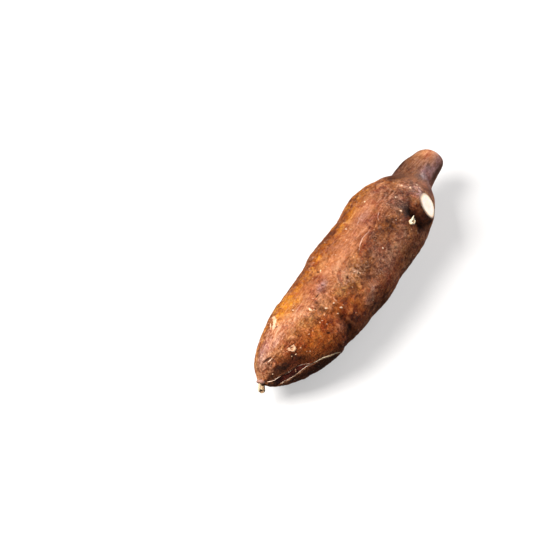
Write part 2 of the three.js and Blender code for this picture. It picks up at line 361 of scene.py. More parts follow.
def fine_relief(along, turn, points):
    """Height of the bark's own relief in mm, the part whose hollows get painted shade and whose crests
    get a painted highlight, and its nicks.
    """
    wide, tall, _, _ = growth(along)
    radius = (wide + tall) / 2
    cross = np.clip(spots(along, turn, CROSS_FOLDS), 0, 1)
    lengthwise = np.clip(spots(along, turn, LONG_FOLDS), 0, 1)
    calm = 1 - 0.75 * on_neck(along, turn)
    calm *= 1 - 0.4 * np.clip(spots(along, turn, WORN_PATCHES), 0, 1)
    lumps = 0.5 * uneven(points, 26, 3) + 0.34 * calm * uneven(points, 9, 3, start=7.1)
    folds = (0.10 + 0.26 * cross) * uneven(points, 2.6, 2, (1, 6, 6), 3.3)
    folds += (0.06 + 0.55 * lengthwise) * uneven(points, 2.3, 2, (8, 1, 1), 5.7)
    pitted = np.clip(spots(along, turn, PITTED_PATCHES), 0, 1)
    scales = 0.4 * (0.3 - np.abs(uneven(points, 5.4, 2, (1, 1.4, 1.4), 9.2)))
    scales += 0.3 * (0.3 - np.abs(uneven(points, 2.9, 2, (1, 1.2, 1.2), 2.4)))
    scales += pitted * (0.45 * uneven(points, 3.1, 3, start=5.3) - 0.1)
    spotted = marks(along, turn, radius, PORES) + marks(along, turn, radius, PITS)
    low, high, bare = split_places(along, turn)
    reach = ease(along, 2, 5) * (1 - ease(along, 60, 65))
    lips = 0.30 * hump(low + 0.9, 0.8) + 0.34 * hump(low - 0.9, 0.9) - 0.62 * hump(low, 0.55)
    lips += (0.35 * hump(high + 0.8, 0.7) - 0.25 * hump(high, 0.5)) * (1 - ease(along, 14, 27))
    nicked = marks(along, turn, radius, NICKS)
    small = calm * (folds + scales + spotted) + nicked + reach * lips - 0.55 * bare
    fade = ease(along, 0.3, 4) * (1 - 0.7 * ease(along, 231, 233.5))
    above, off = beside_stump(points)
    at_stump = 1 - ease(off, STUMP_RADIUS, STUMP_RADIUS + 2.5)
    fade *= 1 - 0.88 * ease(above, MOUND_FOOT, MOUND_SHOULDER) * at_stump

    # The nose gathers in short folds round the foot of the tail.
    aside, up = points[:, 1] - NOSE_ASIDE, points[:, 2] - NOSE_UP
    around = np.arctan2(up, aside)
    gather = hump(np.hypot(aside, up), 5.2) * ease(12 - along, 0, 6)
    gathered = gather * (0.55 + 0.5 * np.sin(7 * around + 0.8 * np.sin(2 * around)))
    height = fade * (lumps + small) - 0.2 + gathered
    return height, fade * (small - nicked) + 0.6 * (gathered - 0.5 * gather), nicked


def boxed(points):
    """Points in mm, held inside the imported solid's box."""
    return np.clip(points, np.array(cad_low) / MM, np.array(cad_high) / MM)


def skin(along, turn):
    """Finished skin points in mm, the way out from the skin, and what its colour follows."""
    points = body_skin(along, turn)
    height, relief, nicked = fine_relief(along, turn, points)
    angle = np.radians(turn)
    forward = -np.clip(1 - along / 22, 0, 1) ** 1.5
    level = np.sqrt(1 - forward**2)
    out = np.stack([forward, level * np.cos(angle), level * np.sin(angle)], 1)
    points = points + height[:, None] * out
    return boxed(points + origin_shift), out, relief, nicked


def piece_from(name, points, faces, smooth=True):
    """A mesh object from points in mm."""
    mesh = bpy.data.meshes.new(name)
    mesh.from_pydata((np.asarray(points) * MM).tolist(), [], faces)
    mesh.update()
    if smooth:
        mesh.polygons.foreach_set("use_smooth", [True] * len(mesh.polygons))
    thing = bpy.data.objects.new(name, mesh)
    bpy.context.scene.collection.objects.link(thing)
    return thing


def give(thing, name, values):
    """A value for each point of a piece, for its material to read."""
    attribute = thing.data.attributes.new(name, "FLOAT", "POINT")
    attribute.data.foreach_set("value", np.asarray(values, np.float32))


def ring_faces(rings, sides, start=0):
    """Faces between rings that each close on themselves, facing out if they run on along a tube."""
    faces = []
    for ring in range(rings - 1):
        first = start + ring * sides
        for side in range(sides):
            after = (side + 1) % sides
            faces.append((first + side, first + after, first + after + sides, first + side + sides))
    return faces


def fan_faces(middle, first, sides, outward):
    faces = [(middle, first + side, first + (side + 1) % sides) for side in range(sides)]
    return faces if outward else [face[::-1] for face in faces]


barrel_end = BODY_LENGTH - RIM_ROUND
ring_places = np.concatenate([
    NOSE_END * (np.arange(1, NOSE_RINGS + 1) / NOSE_RINGS) ** 2,
    np.linspace(NOSE_END, TAIL_END, TAIL_RINGS + 1)[1:],
    np.linspace(TAIL_END, barrel_end, BARREL_RINGS + 1)[1:],
    barrel_end + RIM_ROUND * np.array([0.15, 0.3, 0.45, 0.6, 0.75, 0.88, 1]),
])
ring_count = len(ring_places)
along = np.repeat(ring_places, SIDES)
turn = np.tile(np.arange(SIDES) * 360 / SIDES, ring_count)
bark_points, _, relief, nicked = skin(along, turn)
rim = bark_points[-SIDES:]
heart = rim.mean(0)
nose_point = bark_points[:SIDES].mean(0)
faces = ring_faces(ring_count, SIDES)
last = (ring_count - 1) * SIDES
faces += fan_faces(len(bark_points), 0, SIDES, outward=False)
faces += fan_faces(len(bark_points) + 1, last, SIDES, outward=True)
behind_cut = heart - np.array([BEHIND_CUT, 0, 0])
bark = piece_from("bark", np.vstack([bark_points, nose_point, behind_cut]), faces)

# Patches of colour: along, turn, length, width in degrees, strength. Lightness is brown to pale; besides
# the bark's own tone, its patches hold painted shade in creases, above the split and along the side near
# turn 30, and a painted highlight on the nose.
LIGHTNESS_AND_SHADE_PATCHES = [
    (14, 64, 11, 20, 1.1), (34, 70, 12, 20, 1.1), (50, 86, 9, 22, 0.9), (112, 74, 11, 20, 0.3),
    (70, 142, 7, 14, -1.0), (120, 120, 12, 12, -0.9), (50, 112, 8, 14, 0.7), (48, 92, 10, 10, 0.4),
    (92, 114, 7, 10, 0.6), (140, 136, 12, 10, 0.5), (30, 84, 16, 8, 0.4), (30, 105, 14, 7, -0.4),
    (118, 84, 14, 8, 0.3), (118, 102, 14, 7, -0.5), (205, 44, 12, 14, -1.0), (168, 76, 8, 10, 0.5),
    (100, 88, 12, 14, -0.4), (151, 74, 9, 10, 0.6), (92, 128, 8, 16, 1.3), (145, 139, 14, 10, 1.4),
    (127, 138, 10, 9, 0.9), (228, 86, 7, 34, 0.15), (98, 138, 4, 6, 0.7), (123, 138, 6, 7, 0.4),
    (199, 124, 5, 12, 0.6), (182, 117, 7, 8, -0.7), (70, 56, 6, 10, -0.6), (136, 104, 12, 16, -1.2),
    (171, 108, 9, 12, -0.6), (152, 112, 8, 10, -0.8), (104, 113, 7, 9, -0.7),
    (76, 150, 8, 10, -0.6), (78, 112, 5, 8, 0.6), (10, 124, 10, 20, -1.5), (26, 122, 8, 14, -0.5),
    (191, 60, 8, 16, -1.4), (207, 74, 9, 30, -0.9), (104, 32, 36, 13, -1.5),
    (222, 110, 8, 20, -0.3), (208, 112, 7, 16, -0.9), (138, 88, 14, 18, -0.5),
    (140, 34, 24, 14, -1.0), (188, 112, 6, 12, 0.8), (214, 138, 8, 10, 0.8), (60, 26, 30, 12, -0.7),
    (34, 104, 8, 10, -0.5), (40, 240, 20, 30, 0.5), (90, 210, 16, 24, -0.6),
    (120, 290, 20, 26, 0.5), (165, 250, 18, 30, -0.6), (75, 320, 16, 20, -0.5),
    (200, 280, 14, 50, -0.5),
]
ORANGE_PATCHES = [
    (44, 46, 9, 13, 1.0), (60, 38, 16, 16, 1.0), (84, 36, 22, 14, 1.0), (112, 37, 24, 14, 1.0),
    (138, 36, 22, 14, 1.0), (112, 46, 16, 10, 0.5), (186, 62, 8, 12, 0.5), (168, 34, 14, 12, 0.7),
    (53, 60, 8, 9, 0.7), (30, 30, 9, 10, 0.6), (18, 36, 8, 10, 0.4), (72, 118, 5, 10, 0.35),
    (34, 118, 9, 12, 0.45), (150, 50, 10, 8, 0.4), (95, 255, 16, 24, 0.8), (150, 300, 18, 20, 0.7),
    (50, 290, 10, 22, 0.6), (192, 230, 9, 20, 0.5),
]
ROSY_PATCHES = [
    (16, 62, 13, 22, 1.0), (34, 72, 12, 16, 0.9), (46, 78, 8, 10, 0.7), (75, 92, 6, 8, 0.9),
    (90, 84, 9, 14, 0.7), (112, 78, 14, 14, 0.7), (124, 90, 10, 8, 0.6), (152, 66, 14, 12, 0.5),
    (122, 128, 10, 12, 0.8), (93, 142, 6, 10, 0.7), (145, 140, 10, 8, 0.7), (228, 88, 7, 34, 1.0),
    (186, 104, 8, 14, 0.9), (199, 124, 6, 12, 0.9), (60, 76, 22, 20, 0.5), (98, 138, 5, 8, 0.8),
    (123, 138, 7, 9, 0.6), (120, 74, 34, 20, 0.5), (38, 110, 24, 26, -1.1), (80, 118, 16, 18, -0.6),
    (140, 108, 14, 14, -0.7), (60, 220, 20, 30, 0.7), (120, 270, 20, 30, 0.7),
    (180, 330, 14, 30, 0.6),
]
# Violet patches: partly bloom on older bark, partly painted sheen.
VIOLET_AND_SHEEN_PATCHES = [
    (74, 79, 6, 7, 0.9), (98, 138.5, 3, 5, 0.5), (122, 140, 8, 8, 0.4), (91, 147, 5, 7, 0.8),
    (166, 80, 14, 22, 0.25), (188, 98, 8, 18, 0.4), (177, 138, 6, 14, 0.5), (214, 116, 6, 16, 1.0),
    (207, 120, 5, 14, 0.9), (230, 142, 8, 20, 1.0), (216, 142, 10, 16, 1.0), (141, 72, 9, 10, 0.6),
    (58, 140, 6, 10, 0.4), (165, 102, 6, 9, 0.5), (17, 56, 9, 11, 0.8), (12, 44, 7, 10, 0.6),
    (8, 76, 4, 20, 0.5), (22, 74, 6, 5, 0.5), (200, 142, 6, 10, 0.4), (232, 128, 5, 22, 0.5),
    (182, 116, 6, 8, 0.5), (106, 128, 9, 12, 0.15), (184, 112, 5, 12, 0.8), (124, 112, 8, 12, 0.3),
    (148, 128, 9, 12, 0.35), (120, 215, 16, 20, 0.6), (80, 320, 14, 24, 0.6),
    (200, 20, 12, 26, 0.6), (170, 250, 10, 20, 0.5),
]
FLAKY_PATCHES = [
    (97, 107, 7, 9, 1.0), (93, 146, 5, 7, 0.7), (62, 104, 7, 14, 0.7), (186, 100, 6, 18, 0.7),
    (40, 108, 9, 10, 0.4), (128, 132, 9, 9, 0.5), (160, 110, 5, 8, 0.6), (120, 250, 10, 20, 0.8),
    (60, 220, 10, 16, 0.6), (150, 330, 12, 16, 0.6), (84, 100, 6, 8, 0.5), (118, 136, 10, 12, 0.7),
    (106, 139, 8, 10, 0.6), (140, 142, 10, 8, 0.5), (14, 60, 8, 12, 0.5),
]
# Russet patches: darker and redder on the lower side, partly the bark's own red-brown and partly painted
# shade.
RUSSET_AND_SHADE_PATCHES = [
    (24, 122, 22, 28, 1.2), (56, 130, 18, 28, 1.1), (74, 128, 12, 20, 0.8), (100, 150, 60, 16, 0.8),
    (30, 178, 30, 20, 0.7), (132, 106, 12, 14, 0.4), (118, 98, 8, 8, 0.6), (92, 122, 8, 12, 0.4),
    (162, 136, 12, 20, 0.5), (90, 230, 50, 34, 0.7), (60, 300, 30, 30, 0.5),
    (170, 290, 26, 40, 0.6),
]
# Dark patches: partly dark bark, partly painted shade in the creases, the hollow beside the stump, above
# the split and along the neck's side near turn 26.
DARK_AND_SHADE_PATCHES = [
    (164.5, 117, 5, 10, 1.0), (168, 142, 8, 17, 1.0), (49, 131, 2, 4, 0.5), (140, 106, 9, 12, 0.45),
    (22.5, 116, 3, 6, 0.7), (66, 152, 6, 20, 0.9), (64, 128, 3, 12, 0.5), (9, 133, 8, 20, 1.7),
    (18, 140, 9, 12, 1.1), (16, 132, 12, 16, 1.0), (174, 136, 6, 14, 0.4), (212, 26, 16, 14, 0.9),
    (216, 150, 6, 12, 0.6), (110, 114, 8, 12, 0.25), (150, 104, 6, 10, 0.3), (188, 60, 5, 15, 1.0),
    (30, 178, 26, 16, 1.0), (222, 160, 12, 12, 0.9), (130, 230, 30, 30, 0.4),
    (70, 250, 22, 30, 0.4), (197, 70, 5, 18, 0.4), (182, 146, 13, 16, 0.75), (214, 26, 16, 12, 0.6),
]

DARKEST, LIGHTEST = -1.6, 1.5
LIT_TURN = 70
MIDDLES = [0, 0]
give(bark, "relief", np.append(relief, MIDDLES))
give(bark, "nicked", np.append(nicked, MIDDLES))
lightness_and_shade = np.clip(spots(along, turn, LIGHTNESS_AND_SHADE_PATCHES), DARKEST, LIGHTEST)
give(bark, "lightness_and_shade", np.append(lightness_and_shade, MIDDLES))
for name, places in (
    ("worn", WORN_PATCHES),
    ("pitted", PITTED_PATCHES),
    ("flaky", FLAKY_PATCHES),
    ("russet_and_shade", RUSSET_AND_SHADE_PATCHES),
    ("orange", ORANGE_PATCHES),
    ("rosy", ROSY_PATCHES),
    ("violet_and_sheen", VIOLET_AND_SHEEN_PATCHES),
    ("dark", DARK_AND_SHADE_PATCHES),
    ("long_folds", LONG_FOLDS),
):
    give(bark, name, np.append(np.clip(spots(along, turn, places), -1, 1), MIDDLES))
give(bark, "bare", np.append(split_places(along, turn)[2], MIDDLES))
give(bark, "neck", np.append(on_neck(along, turn), [0, 1]))
# Painted shade, growing on the side turned away from the light at LIT_TURN.
give(bark, "shaded", np.append(ease(np.cos(np.radians(turn - LIT_TURN)), 0.5, -0.6), MIDDLES))


def colour(code):
    """A colour's red, green, blue and alpha for a shader, from its usual six-digit code."""
    shares = [int(code[at:at + 2], 16) / 255 for at in (0, 2, 4)]
    return [s / 12.92 if s <= 0.04045 else ((s + 0.055) / 1.055) ** 2.4 for s in shares] + [1.0]


def put(tree, kind, values=None, **settings):
    """A node in tree, with each of its inputs set to a plain value or another node's output."""
    node = tree.nodes.new(kind)
    for name, value in settings.items():
        setattr(node, name, value)
    for name, value in (values or {}).items():
        if isinstance(value, bpy.types.NodeSocket):
            tree.links.new(value, node.inputs[name])
        else:
            node.inputs[name].default_value = value
    return node


def maths(tree, operation, *values):
    return put(tree, "ShaderNodeMath", dict(enumerate(values)), operation=operation).outputs[0]


def plus(tree, first, second):
    return maths(tree, "ADD", first, second)


def less(tree, first, second):
    return maths(tree, "SUBTRACT", first, second)


def both(tree, first, second):
    """Two shares together: their product."""
    return maths(tree, "MULTIPLY", first, second)


def most(tree, first, second):
    return maths(tree, "MAXIMUM", first, second)


def span(tree, value, low, high, to_low=0.0, to_high=1.0):
    """A value between low and high, eased into the range from to_low to to_high."""
    values = {"Value": value, "From Min": low, "From Max": high, "To Min": to_low, "To Max": to_high}
    return put(tree, "ShaderNodeMapRange", values, interpolation_type="SMOOTHSTEP").outputs["Result"]


def mix(tree, share, first, second, way="MIX"):
    """Two colours mixed by share."""
    values = {"Factor": share, 6: first, 7: second}
    return put(tree, "ShaderNodeMix", values, data_type="RGBA", blend_type=way).outputs[2]


def tinted(tree, surface, code, share, way="MIX"):
    """A surface with a colour laid over it by share."""
    return mix(tree, share, surface, colour(code), way)


def ramp(tree, value, stops):
    """A colour that follows value through stops of place and colour code."""
    node = put(tree, "ShaderNodeValToRGB", {"Fac": value})
    elements = node.color_ramp.elements
    while len(elements) < len(stops):
        elements.new(0.5)
    for element, (place, code) in zip(elements, stops):
        element.position = place
        element.color = colour(code)
    return node.outputs["Color"]


def speckle(tree, vector, size, detail=4.0, roughness=0.6, distortion=0.0):
    """Noise from 0 to 1 in grains of that size in mm."""
    values = {
        "Vector": vector, "Scale": 1 / size, "Detail": detail, "Roughness": roughness,
        "Distortion": distortion,
    }
    return put(tree, "ShaderNodeTexNoise", values).outputs["Fac"]


def stretched(tree, vector, factors):
    values = {0: vector, 1: factors}
    return put(tree, "ShaderNodeVectorMath", values, operation="MULTIPLY").outputs["Vector"]


def read(tree, name):
    return put(tree, "ShaderNodeAttribute", attribute_name=name).outputs["Fac"]


def new_material(name):
    """A material, its tree, its shader, and object places in mm."""
    material = bpy.data.materials.new(name)
    material.use_nodes = True
    tree = material.node_tree
    shader = tree.nodes["Principled BSDF"]
    place = put(tree, "ShaderNodeTexCoord").outputs["Object"]
    return material, tree, shader, stretched(tree, place, (1 / MM,) * 3)


def roughen(tree, shader, height, strength, distance):
    """Relief too fine to model, up to that distance in mm, for the shader's normal."""
    values = {"Height": height, "Strength": strength, "Distance": distance * MM}
    bump = put(tree, "ShaderNodeBump", values)
    tree.links.new(bump.outputs["Normal"], shader.inputs["Normal"])


def new_group(name, inputs, outputs):
    """A shader node group, and the sockets that its inputs and outputs give inside it."""
    group = bpy.data.node_groups.new(name, "ShaderNodeTree")
    for socket, kind in inputs.items():
        group.interface.new_socket(socket, in_out="INPUT", socket_type=kind)
    for socket, kind in outputs.items():
        group.interface.new_socket(socket, in_out="OUTPUT", socket_type=kind)
    return group, group.nodes.new("NodeGroupInput").outputs, group.nodes.new("NodeGroupOutput").inputs


def placed(tree, group, values):
    """A shader node group set into a tree with its own values: its outputs."""
    return put(tree, "ShaderNodeGroup", values, node_tree=group).outputs


# Corky skin comes away in thin flakes: each has a lifted pale lip, partly its own colour and partly
# painted highlight, and beside it a dark gap, partly dark skin and partly painted shade.
flaking, given, shown = new_group(
    "lifted flakes",
    {"Vector": "NodeSocketVector", "Scale": "NodeSocketFloat", "Amount": "NodeSocketFloat"},
    {"Lip": "NodeSocketFloat", "Gap Shade": "NodeSocketFloat", "Height": "NodeSocketFloat"},
)
values = {0: given["Vector"], "Scale": given["Scale"]}
sized = put(flaking, "ShaderNodeVectorMath", values, operation="SCALE").outputs[0]
sheet = put(flaking, "ShaderNodeTexNoise", {
    "Vector": sized, "Scale": 1.0, "Detail": 2.6, "Roughness": 0.55, "Distortion": 1.3,
}).outputs["Fac"]
patchy = put(flaking, "ShaderNodeTexNoise", {
    "Vector": sized, "Scale": 0.33, "Detail": 2.0, "Distortion": 0.6,
}).outputs["Fac"]
showing = both(flaking, span(flaking, patchy, 0.42, 0.58), given["Amount"])
stepped = span(flaking, sheet, 0.492, 0.508)
lip = both(flaking, stepped, span(flaking, sheet, 0.512, 0.545, 1.0, 0.0))
gap = both(flaking, span(flaking, sheet, 0.455, 0.490), span(flaking, sheet, 0.495, 0.505, 1.0, 0.0))
flaking.links.new(both(flaking, lip, showing), shown["Lip"])
flaking.links.new(both(flaking, gap, showing), shown["Gap Shade"])
lifted = plus(flaking, stepped, both(flaking, lip, 0.7))
flaking.links.new(both(flaking, lifted, showing), shown["Height"])


bark_skin, tree, shader, place = new_material("bark")
broad = speckle(tree, place, 34, 3.0, 0.55, 0.6)
patch = speckle(tree, stretched(tree, place, (0.75, 1, 1)), 9.0, 5.0, 0.6, 1.2)
blotch = speckle(tree, stretched(tree, place, (0.65, 1, 1)), 3.6, 4.0, 0.6, 1.0)
grain = speckle(tree, stretched(tree, place, (0.75, 1, 1)), 1.3, 5.0, 0.7, 0.3)
dust = speckle(tree, place, 0.6, 3.0, 0.7)
hue = speckle(tree, stretched(tree, place, (0.8, 1, 1)), 24, 4.0, 0.5, 1.0)
across = speckle(tree, stretched(tree, place, (1, 0.16, 0.16)), 1.5, 4.0, 0.6, 0.5)
lengthwise = speckle(tree, stretched(tree, place, (0.13, 1, 1)), 1.25, 3.0, 0.6, 0.6)
worn = read(tree, "worn")
long_folds = read(tree, "long_folds")
scaly = both(tree, span(tree, read(tree, "neck"), 0, 1, 1.0, 0.3), span(tree, worn, 0, 1, 1.0, 0.5))

# Brown over rosy brown, in patches of many sizes that fade where the skin is worn smooth.
mottle = both(tree, broad, 0.22)
for source, share in ((patch, 0.31), (blotch, 0.23), (grain, 0.25)):
    mottle = plus(tree, mottle, both(tree, source, share))
streaked = both(tree, less(tree, lengthwise, 0.5), both(tree, long_folds, 0.3))
mottle = plus(tree, less(tree, mottle, 0.505), streaked)
mottle = both(tree, mottle, span(tree, scaly, 0.3, 1.0, 0.55, 1.12))
# The tone takes the lightness patches, with painted shade and a painted highlight among them.
tone = plus(tree, plus(tree, mottle, 0.503), both(tree, read(tree, "lightness_and_shade"), 0.042))
ochre = ramp(tree, tone, [
    (0.39, "451c08"), (0.45, "79400f"), (0.50, "a4622a"), (0.545, "c07c40"), (0.60, "d8a060"),
])
rosy = ramp(tree, tone, [
    (0.39, "4a190b"), (0.45, "843f20"), (0.50, "b0683f"), (0.545, "cb875c"), (0.60, "e5ab80"),
])
rosy_patch = read(tree, "rosy")
rosy_share = plus(tree, span(tree, hue, 0.4, 0.6, 0.1, 0.8), both(tree, rosy_patch, 0.9))
surface = mix(tree, maths(tree, "MINIMUM", rosy_share, 1.0), ochre, rosy)

# Painted shade: the side turned away from the light at LIT_TURN is darker and redder. Rubbed patches
# show the orange layer.
shaded = both(tree, read(tree, "shaded"), span(tree, broad, 0.35, 0.6, 0.4, 0.85))
shaded_tone = ramp(tree, tone, [(0.41, "2a0c03"), (0.49, "66290c"), (0.57, "9a4e22")])
surface = mix(tree, shaded, surface, shaded_tone)
orange_share = both(tree, read(tree, "orange"), span(tree, patch, 0.36, 0.54, 0.5, 1.0))
orange_tone = ramp(tree, tone, [(0.41, "6e300a"), (0.47, "a4530c"), (0.52, "c97c1a"), (0.58, "e09c38")])
surface = mix(tree, orange_share, surface, orange_tone)

# The neck is smoother, older and greyer, and violet patches are partly the older bark's bloom and partly
# painted sheen.
neck_share = both(tree, read(tree, "neck"), less(tree, 0.85, both(tree, rosy_patch, 0.7)))
neck_tone = ramp(tree, tone, [(0.41, "3a1f13"), (0.49, "74482f"), (0.57, "a07656")])
surface = mix(tree, neck_share, surface, neck_tone)
violet_and_sheen_share = both(tree, read(tree, "violet_and_sheen"), span(tree, blotch, 0.38, 0.58, 0.5, 0.95))
violet_and_sheen_tone = ramp(tree, tone, [(0.42, "33191f"), (0.5, "80575a"), (0.56, "bd9294")])
surface = mix(tree, violet_and_sheen_share, surface, violet_and_sheen_tone)

# Wine-brown and olive-brown clouds, and folds with a painted pinkish highlight on their crests and
# painted brown shade in their gaps.
cloud = speckle(tree, place, 12.0, 4.0, 0.6, 0.8)
surface = tinted(tree, surface, "d5a0a2", span(tree, cloud, 0.53, 0.66, 0.0, 0.75), "MULTIPLY")
surface = tinted(tree, surface, "ecd2a0", span(tree, cloud, 0.47, 0.34, 0.0, 0.5), "MULTIPLY")
folded = most(tree, long_folds, both(tree, worn, 0.35))
fold_crest_highlight = both(tree, folded, span(tree, lengthwise, 0.5, 0.62))
fold_trough_shade = both(tree, folded, span(tree, lengthwise, 0.47, 0.34))
surface = tinted(tree, surface, "e8b89c", both(tree, fold_crest_highlight, 0.42))
surface = tinted(tree, surface, "7d4229", both(tree, fold_trough_shade, 0.36))

# Small things: freckles, flakes, pale and dark grains, bark darker along the grooves of the crosswise
# wrinkles, and painted shade in the low places of the relief, its pits among them, with a painted
# highlight on its crests.
freckle = speckle(tree, place, 1.25, 3.0, 0.6, 0.7)
thick = span(tree, speckle(tree, place, 15, 2.0, 0.5, 0.6), 0.42, 0.6, 0.1, 0.9)
pitted = read(tree, "pitted")
thick = most(tree, both(tree, thick, 0.55), pitted)
freckled = both(tree, both(tree, span(tree, freckle, 0.45, 0.38), thick), both(tree, scaly, 0.5))
surface = tinted(tree, surface, "56280f", freckled)
wide_flakes = placed(tree, flaking, {"Vector": place, "Scale": 0.17, "Amount": scaly})
short_place = stretched(tree, place, (1.2, 1, 1))
small_flakes = placed(tree, flaking, {"Vector": short_place, "Scale": 0.42, "Amount": scaly})
gap_shade = most(tree, wide_flakes["Gap Shade"], small_flakes["Gap Shade"])
lips = most(tree, wide_flakes["Lip"], small_flakes["Lip"])
# Painted shade in the flakes' gaps, and pale lips that are partly painted highlight.
surface = tinted(tree, surface, "3a180a", both(tree, gap_shade, 0.6))
surface = tinted(tree, surface, "dea883", both(tree, lips, 0.5))
surface = tinted(tree, surface, "e0ad88", both(tree, span(tree, dust, 0.63, 0.75, 0.0, 0.5), scaly))
flaky = read(tree, "flaky")
surface = tinted(tree, surface, "ecc6a8", both(tree, span(tree, dust, 0.54, 0.66, 0.0, 0.75), flaky))
surface = tinted(tree, surface, "e0ac8c", both(tree, span(tree, freckle, 0.52, 0.6, 0.0, 0.7), flaky))
surface = tinted(tree, surface, "331507", both(tree, span(tree, dust, 0.36, 0.26, 0.0, 0.4), scaly))
surface = tinted(tree, surface, "4a2110", both(tree, span(tree, across, 0.46, 0.32, 0.0, 0.4), scaly))
relief_here = read(tree, "relief")
marked = most(tree, scaly, pitted)
# Painted shade in the relief's low places and a painted highlight on its crests.
relief_hollow_shade = both(tree, span(tree, relief_here, 0.0, -0.4, 0.0, 0.68), marked)
relief_crest_highlight = both(tree, span(tree, relief_here, 0.08, 0.38, 0.0, 0.6), marked)
surface = tinted(tree, surface, "4a1e0c", relief_hollow_shade)
surface = tinted(tree, surface, "eab090", relief_crest_highlight)

# A darker, redder multiply on the lower side, partly the bark's own red-brown and partly painted shade;
# then dark patches, partly dark bark and partly painted shade; painted shade in the nicks; and bare
# flesh.
russet_and_shade_share = both(tree, read(tree, "russet_and_shade"), span(tree, patch, 0.3, 0.6, 1.0, 0.75))
russet_and_shade_share = both(tree, russet_and_shade_share, span(tree, violet_and_sheen_share, 0.0, 0.8, 1.0, 0.0))
surface = tinted(tree, surface, "f0b05c", russet_and_shade_share, "MULTIPLY")
# Dark patches, with painted shade among them.
dark_and_shade_share = both(tree, read(tree, "dark"), span(tree, patch, 0.3, 0.6, 1.0, 0.84))
dark_and_shade_tone = ramp(tree, tone, [(0.42, "240d04"), (0.5, "3c1808"), (0.58, "572811")])
surface = mix(tree, dark_and_shade_share, surface, dark_and_shade_tone)
# Painted shade in the nicks, following how deep they are.
surface = tinted(tree, surface, "351207", span(tree, read(tree, "nicked"), -0.12, -0.5, 0.0, 0.85))
bare_tone = ramp(tree, tone, [(0.41, "2c0a08"), (0.49, "4f1712"), (0.57, "80392a")])
surface = mix(tree, read(tree, "bare"), surface, bare_tone)
tree.links.new(surface, shader.inputs["Base Color"])

shine = plus(tree, span(tree, patch, 0.35, 0.65, 0.5, 0.66), both(tree, grain, 0.12))
shine = less(tree, shine, both(tree, violet_and_sheen_share, 0.12))
tree.links.new(shine, shader.inputs["Roughness"])
shader.inputs["Specular IOR Level"].default_value = 0.14
shader.inputs["Coat Roughness"].default_value = 0.36
tree.links.new(span(tree, violet_and_sheen_share, 0.2, 0.8, 0.03, 0.2), shader.inputs["Coat Weight"])
crinkle = speckle(tree, short_place, 3.0, 2.0, 0.5, 1.6)
crinkle = span(tree, maths(tree, "ABSOLUTE", less(tree, crinkle, 0.5)), 0.0, 0.09, 1.0, 0.0)
height = both(tree, blotch, 0.5)
for source, share in (
    (grain, 0.3),
    (crinkle, 0.3),
    (dust, 0.08),
    (across, 0.3),
    (wide_flakes["Height"], 0.2),
    (small_flakes["Height"], 0.12),
):
    height = plus(tree, height, both(tree, source, share))
height = both(tree, height, span(tree, marked, 0.2, 1.0, 0.35, 1.3))
height = plus(tree, height, both(tree, both(tree, lengthwise, folded), 0.45))
roughen(tree, shader, height, 1.0, 1.2)
bark.data.materials.append(bark_skin)
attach(bark, "root")
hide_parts("cassava_root")


# THE SIDE STUMP'S FACE
# A second neck was sawn off flat here. Starchy white flesh fills the cut, inside a thin ring
# where the peel begins. It has dried a little, so it is yellower and greyer towards its edge.

FACE_RADIUS = 9.15
FACE_PROUD, FACE_DISH, FACE_ROUGHNESS = 0.05, 0.25, 0.12
CUT_DEPTH = 3.0
FACE_RINGS, FACE_SIDES = 26, 96


def across_from(way):
    """Two directions square to a way, to draw rounds with."""
    first = unit(np.cross(way, (0.0, 0.31, 0.95)))
    return first, np.cross(way, first)


def cut_face(name, outline, way, dish, roughness):
    """A cut end inside its outline: a closed disc, dished and a little rough, with a value ring."""
    sides = len(outline)
    middle = outline.mean(0)
    shares = np.linspace(0, 1, FACE_RINGS + 1)[1:]
    rings = [middle + (outline - middle) * share for share in shares]
    points = np.vstack([[middle], *rings])
    ring = np.concatenate([[0], np.repeat(shares, sides)])
    height = dish * (ring**2 - 1) + roughness * uneven(points, 1.7, 3) * ease(1 - ring, 0, 0.1)
    height -= 0.45 * ease(ring, 0.93, 1.0)
    points = points + height[:, None] * way
    points = np.vstack([points, outline - way * CUT_DEPTH, [middle - way * CUT_DEPTH]])
    faces = fan_faces(0, 1, sides, outward=True)
    # The rings spread from the middle, not along a tube, so their faces are turned over.
    faces += [face[::-1] for face in ring_faces(FACE_RINGS + 1, sides, 1)]
    faces += fan_faces(len(points) - 1, 1 + FACE_RINGS * sides, sides, outward=False)
    disc = piece_from(name, points, faces)
    give(disc, "ring", np.concatenate([ring, np.ones(sides + 1)]))
    return disc


turns = np.arange(FACE_SIDES) * 2 * math.pi / FACE_SIDES
radii = EGG_SIZE * FACE_RADIUS * (1 + 0.018 * np.sin(2 * turns + 0.6) + 0.012 * np.sin(5 * turns))
narrow = EGG_BREADTH - EGG_NARROWING * ((1 + np.cos(turns)) / 2) ** 2
outline = np.cos(turns)[:, None] * face_point + (narrow * np.sin(turns))[:, None] * face_side
outline = stump_end + origin_shift + radii[:, None] * outline + FACE_PROUD * stump_way
outline -= EGG_ASIDE * face_side
stump_face = cut_face("stump_face", outline, stump_way, FACE_DISH, FACE_ROUGHNESS)

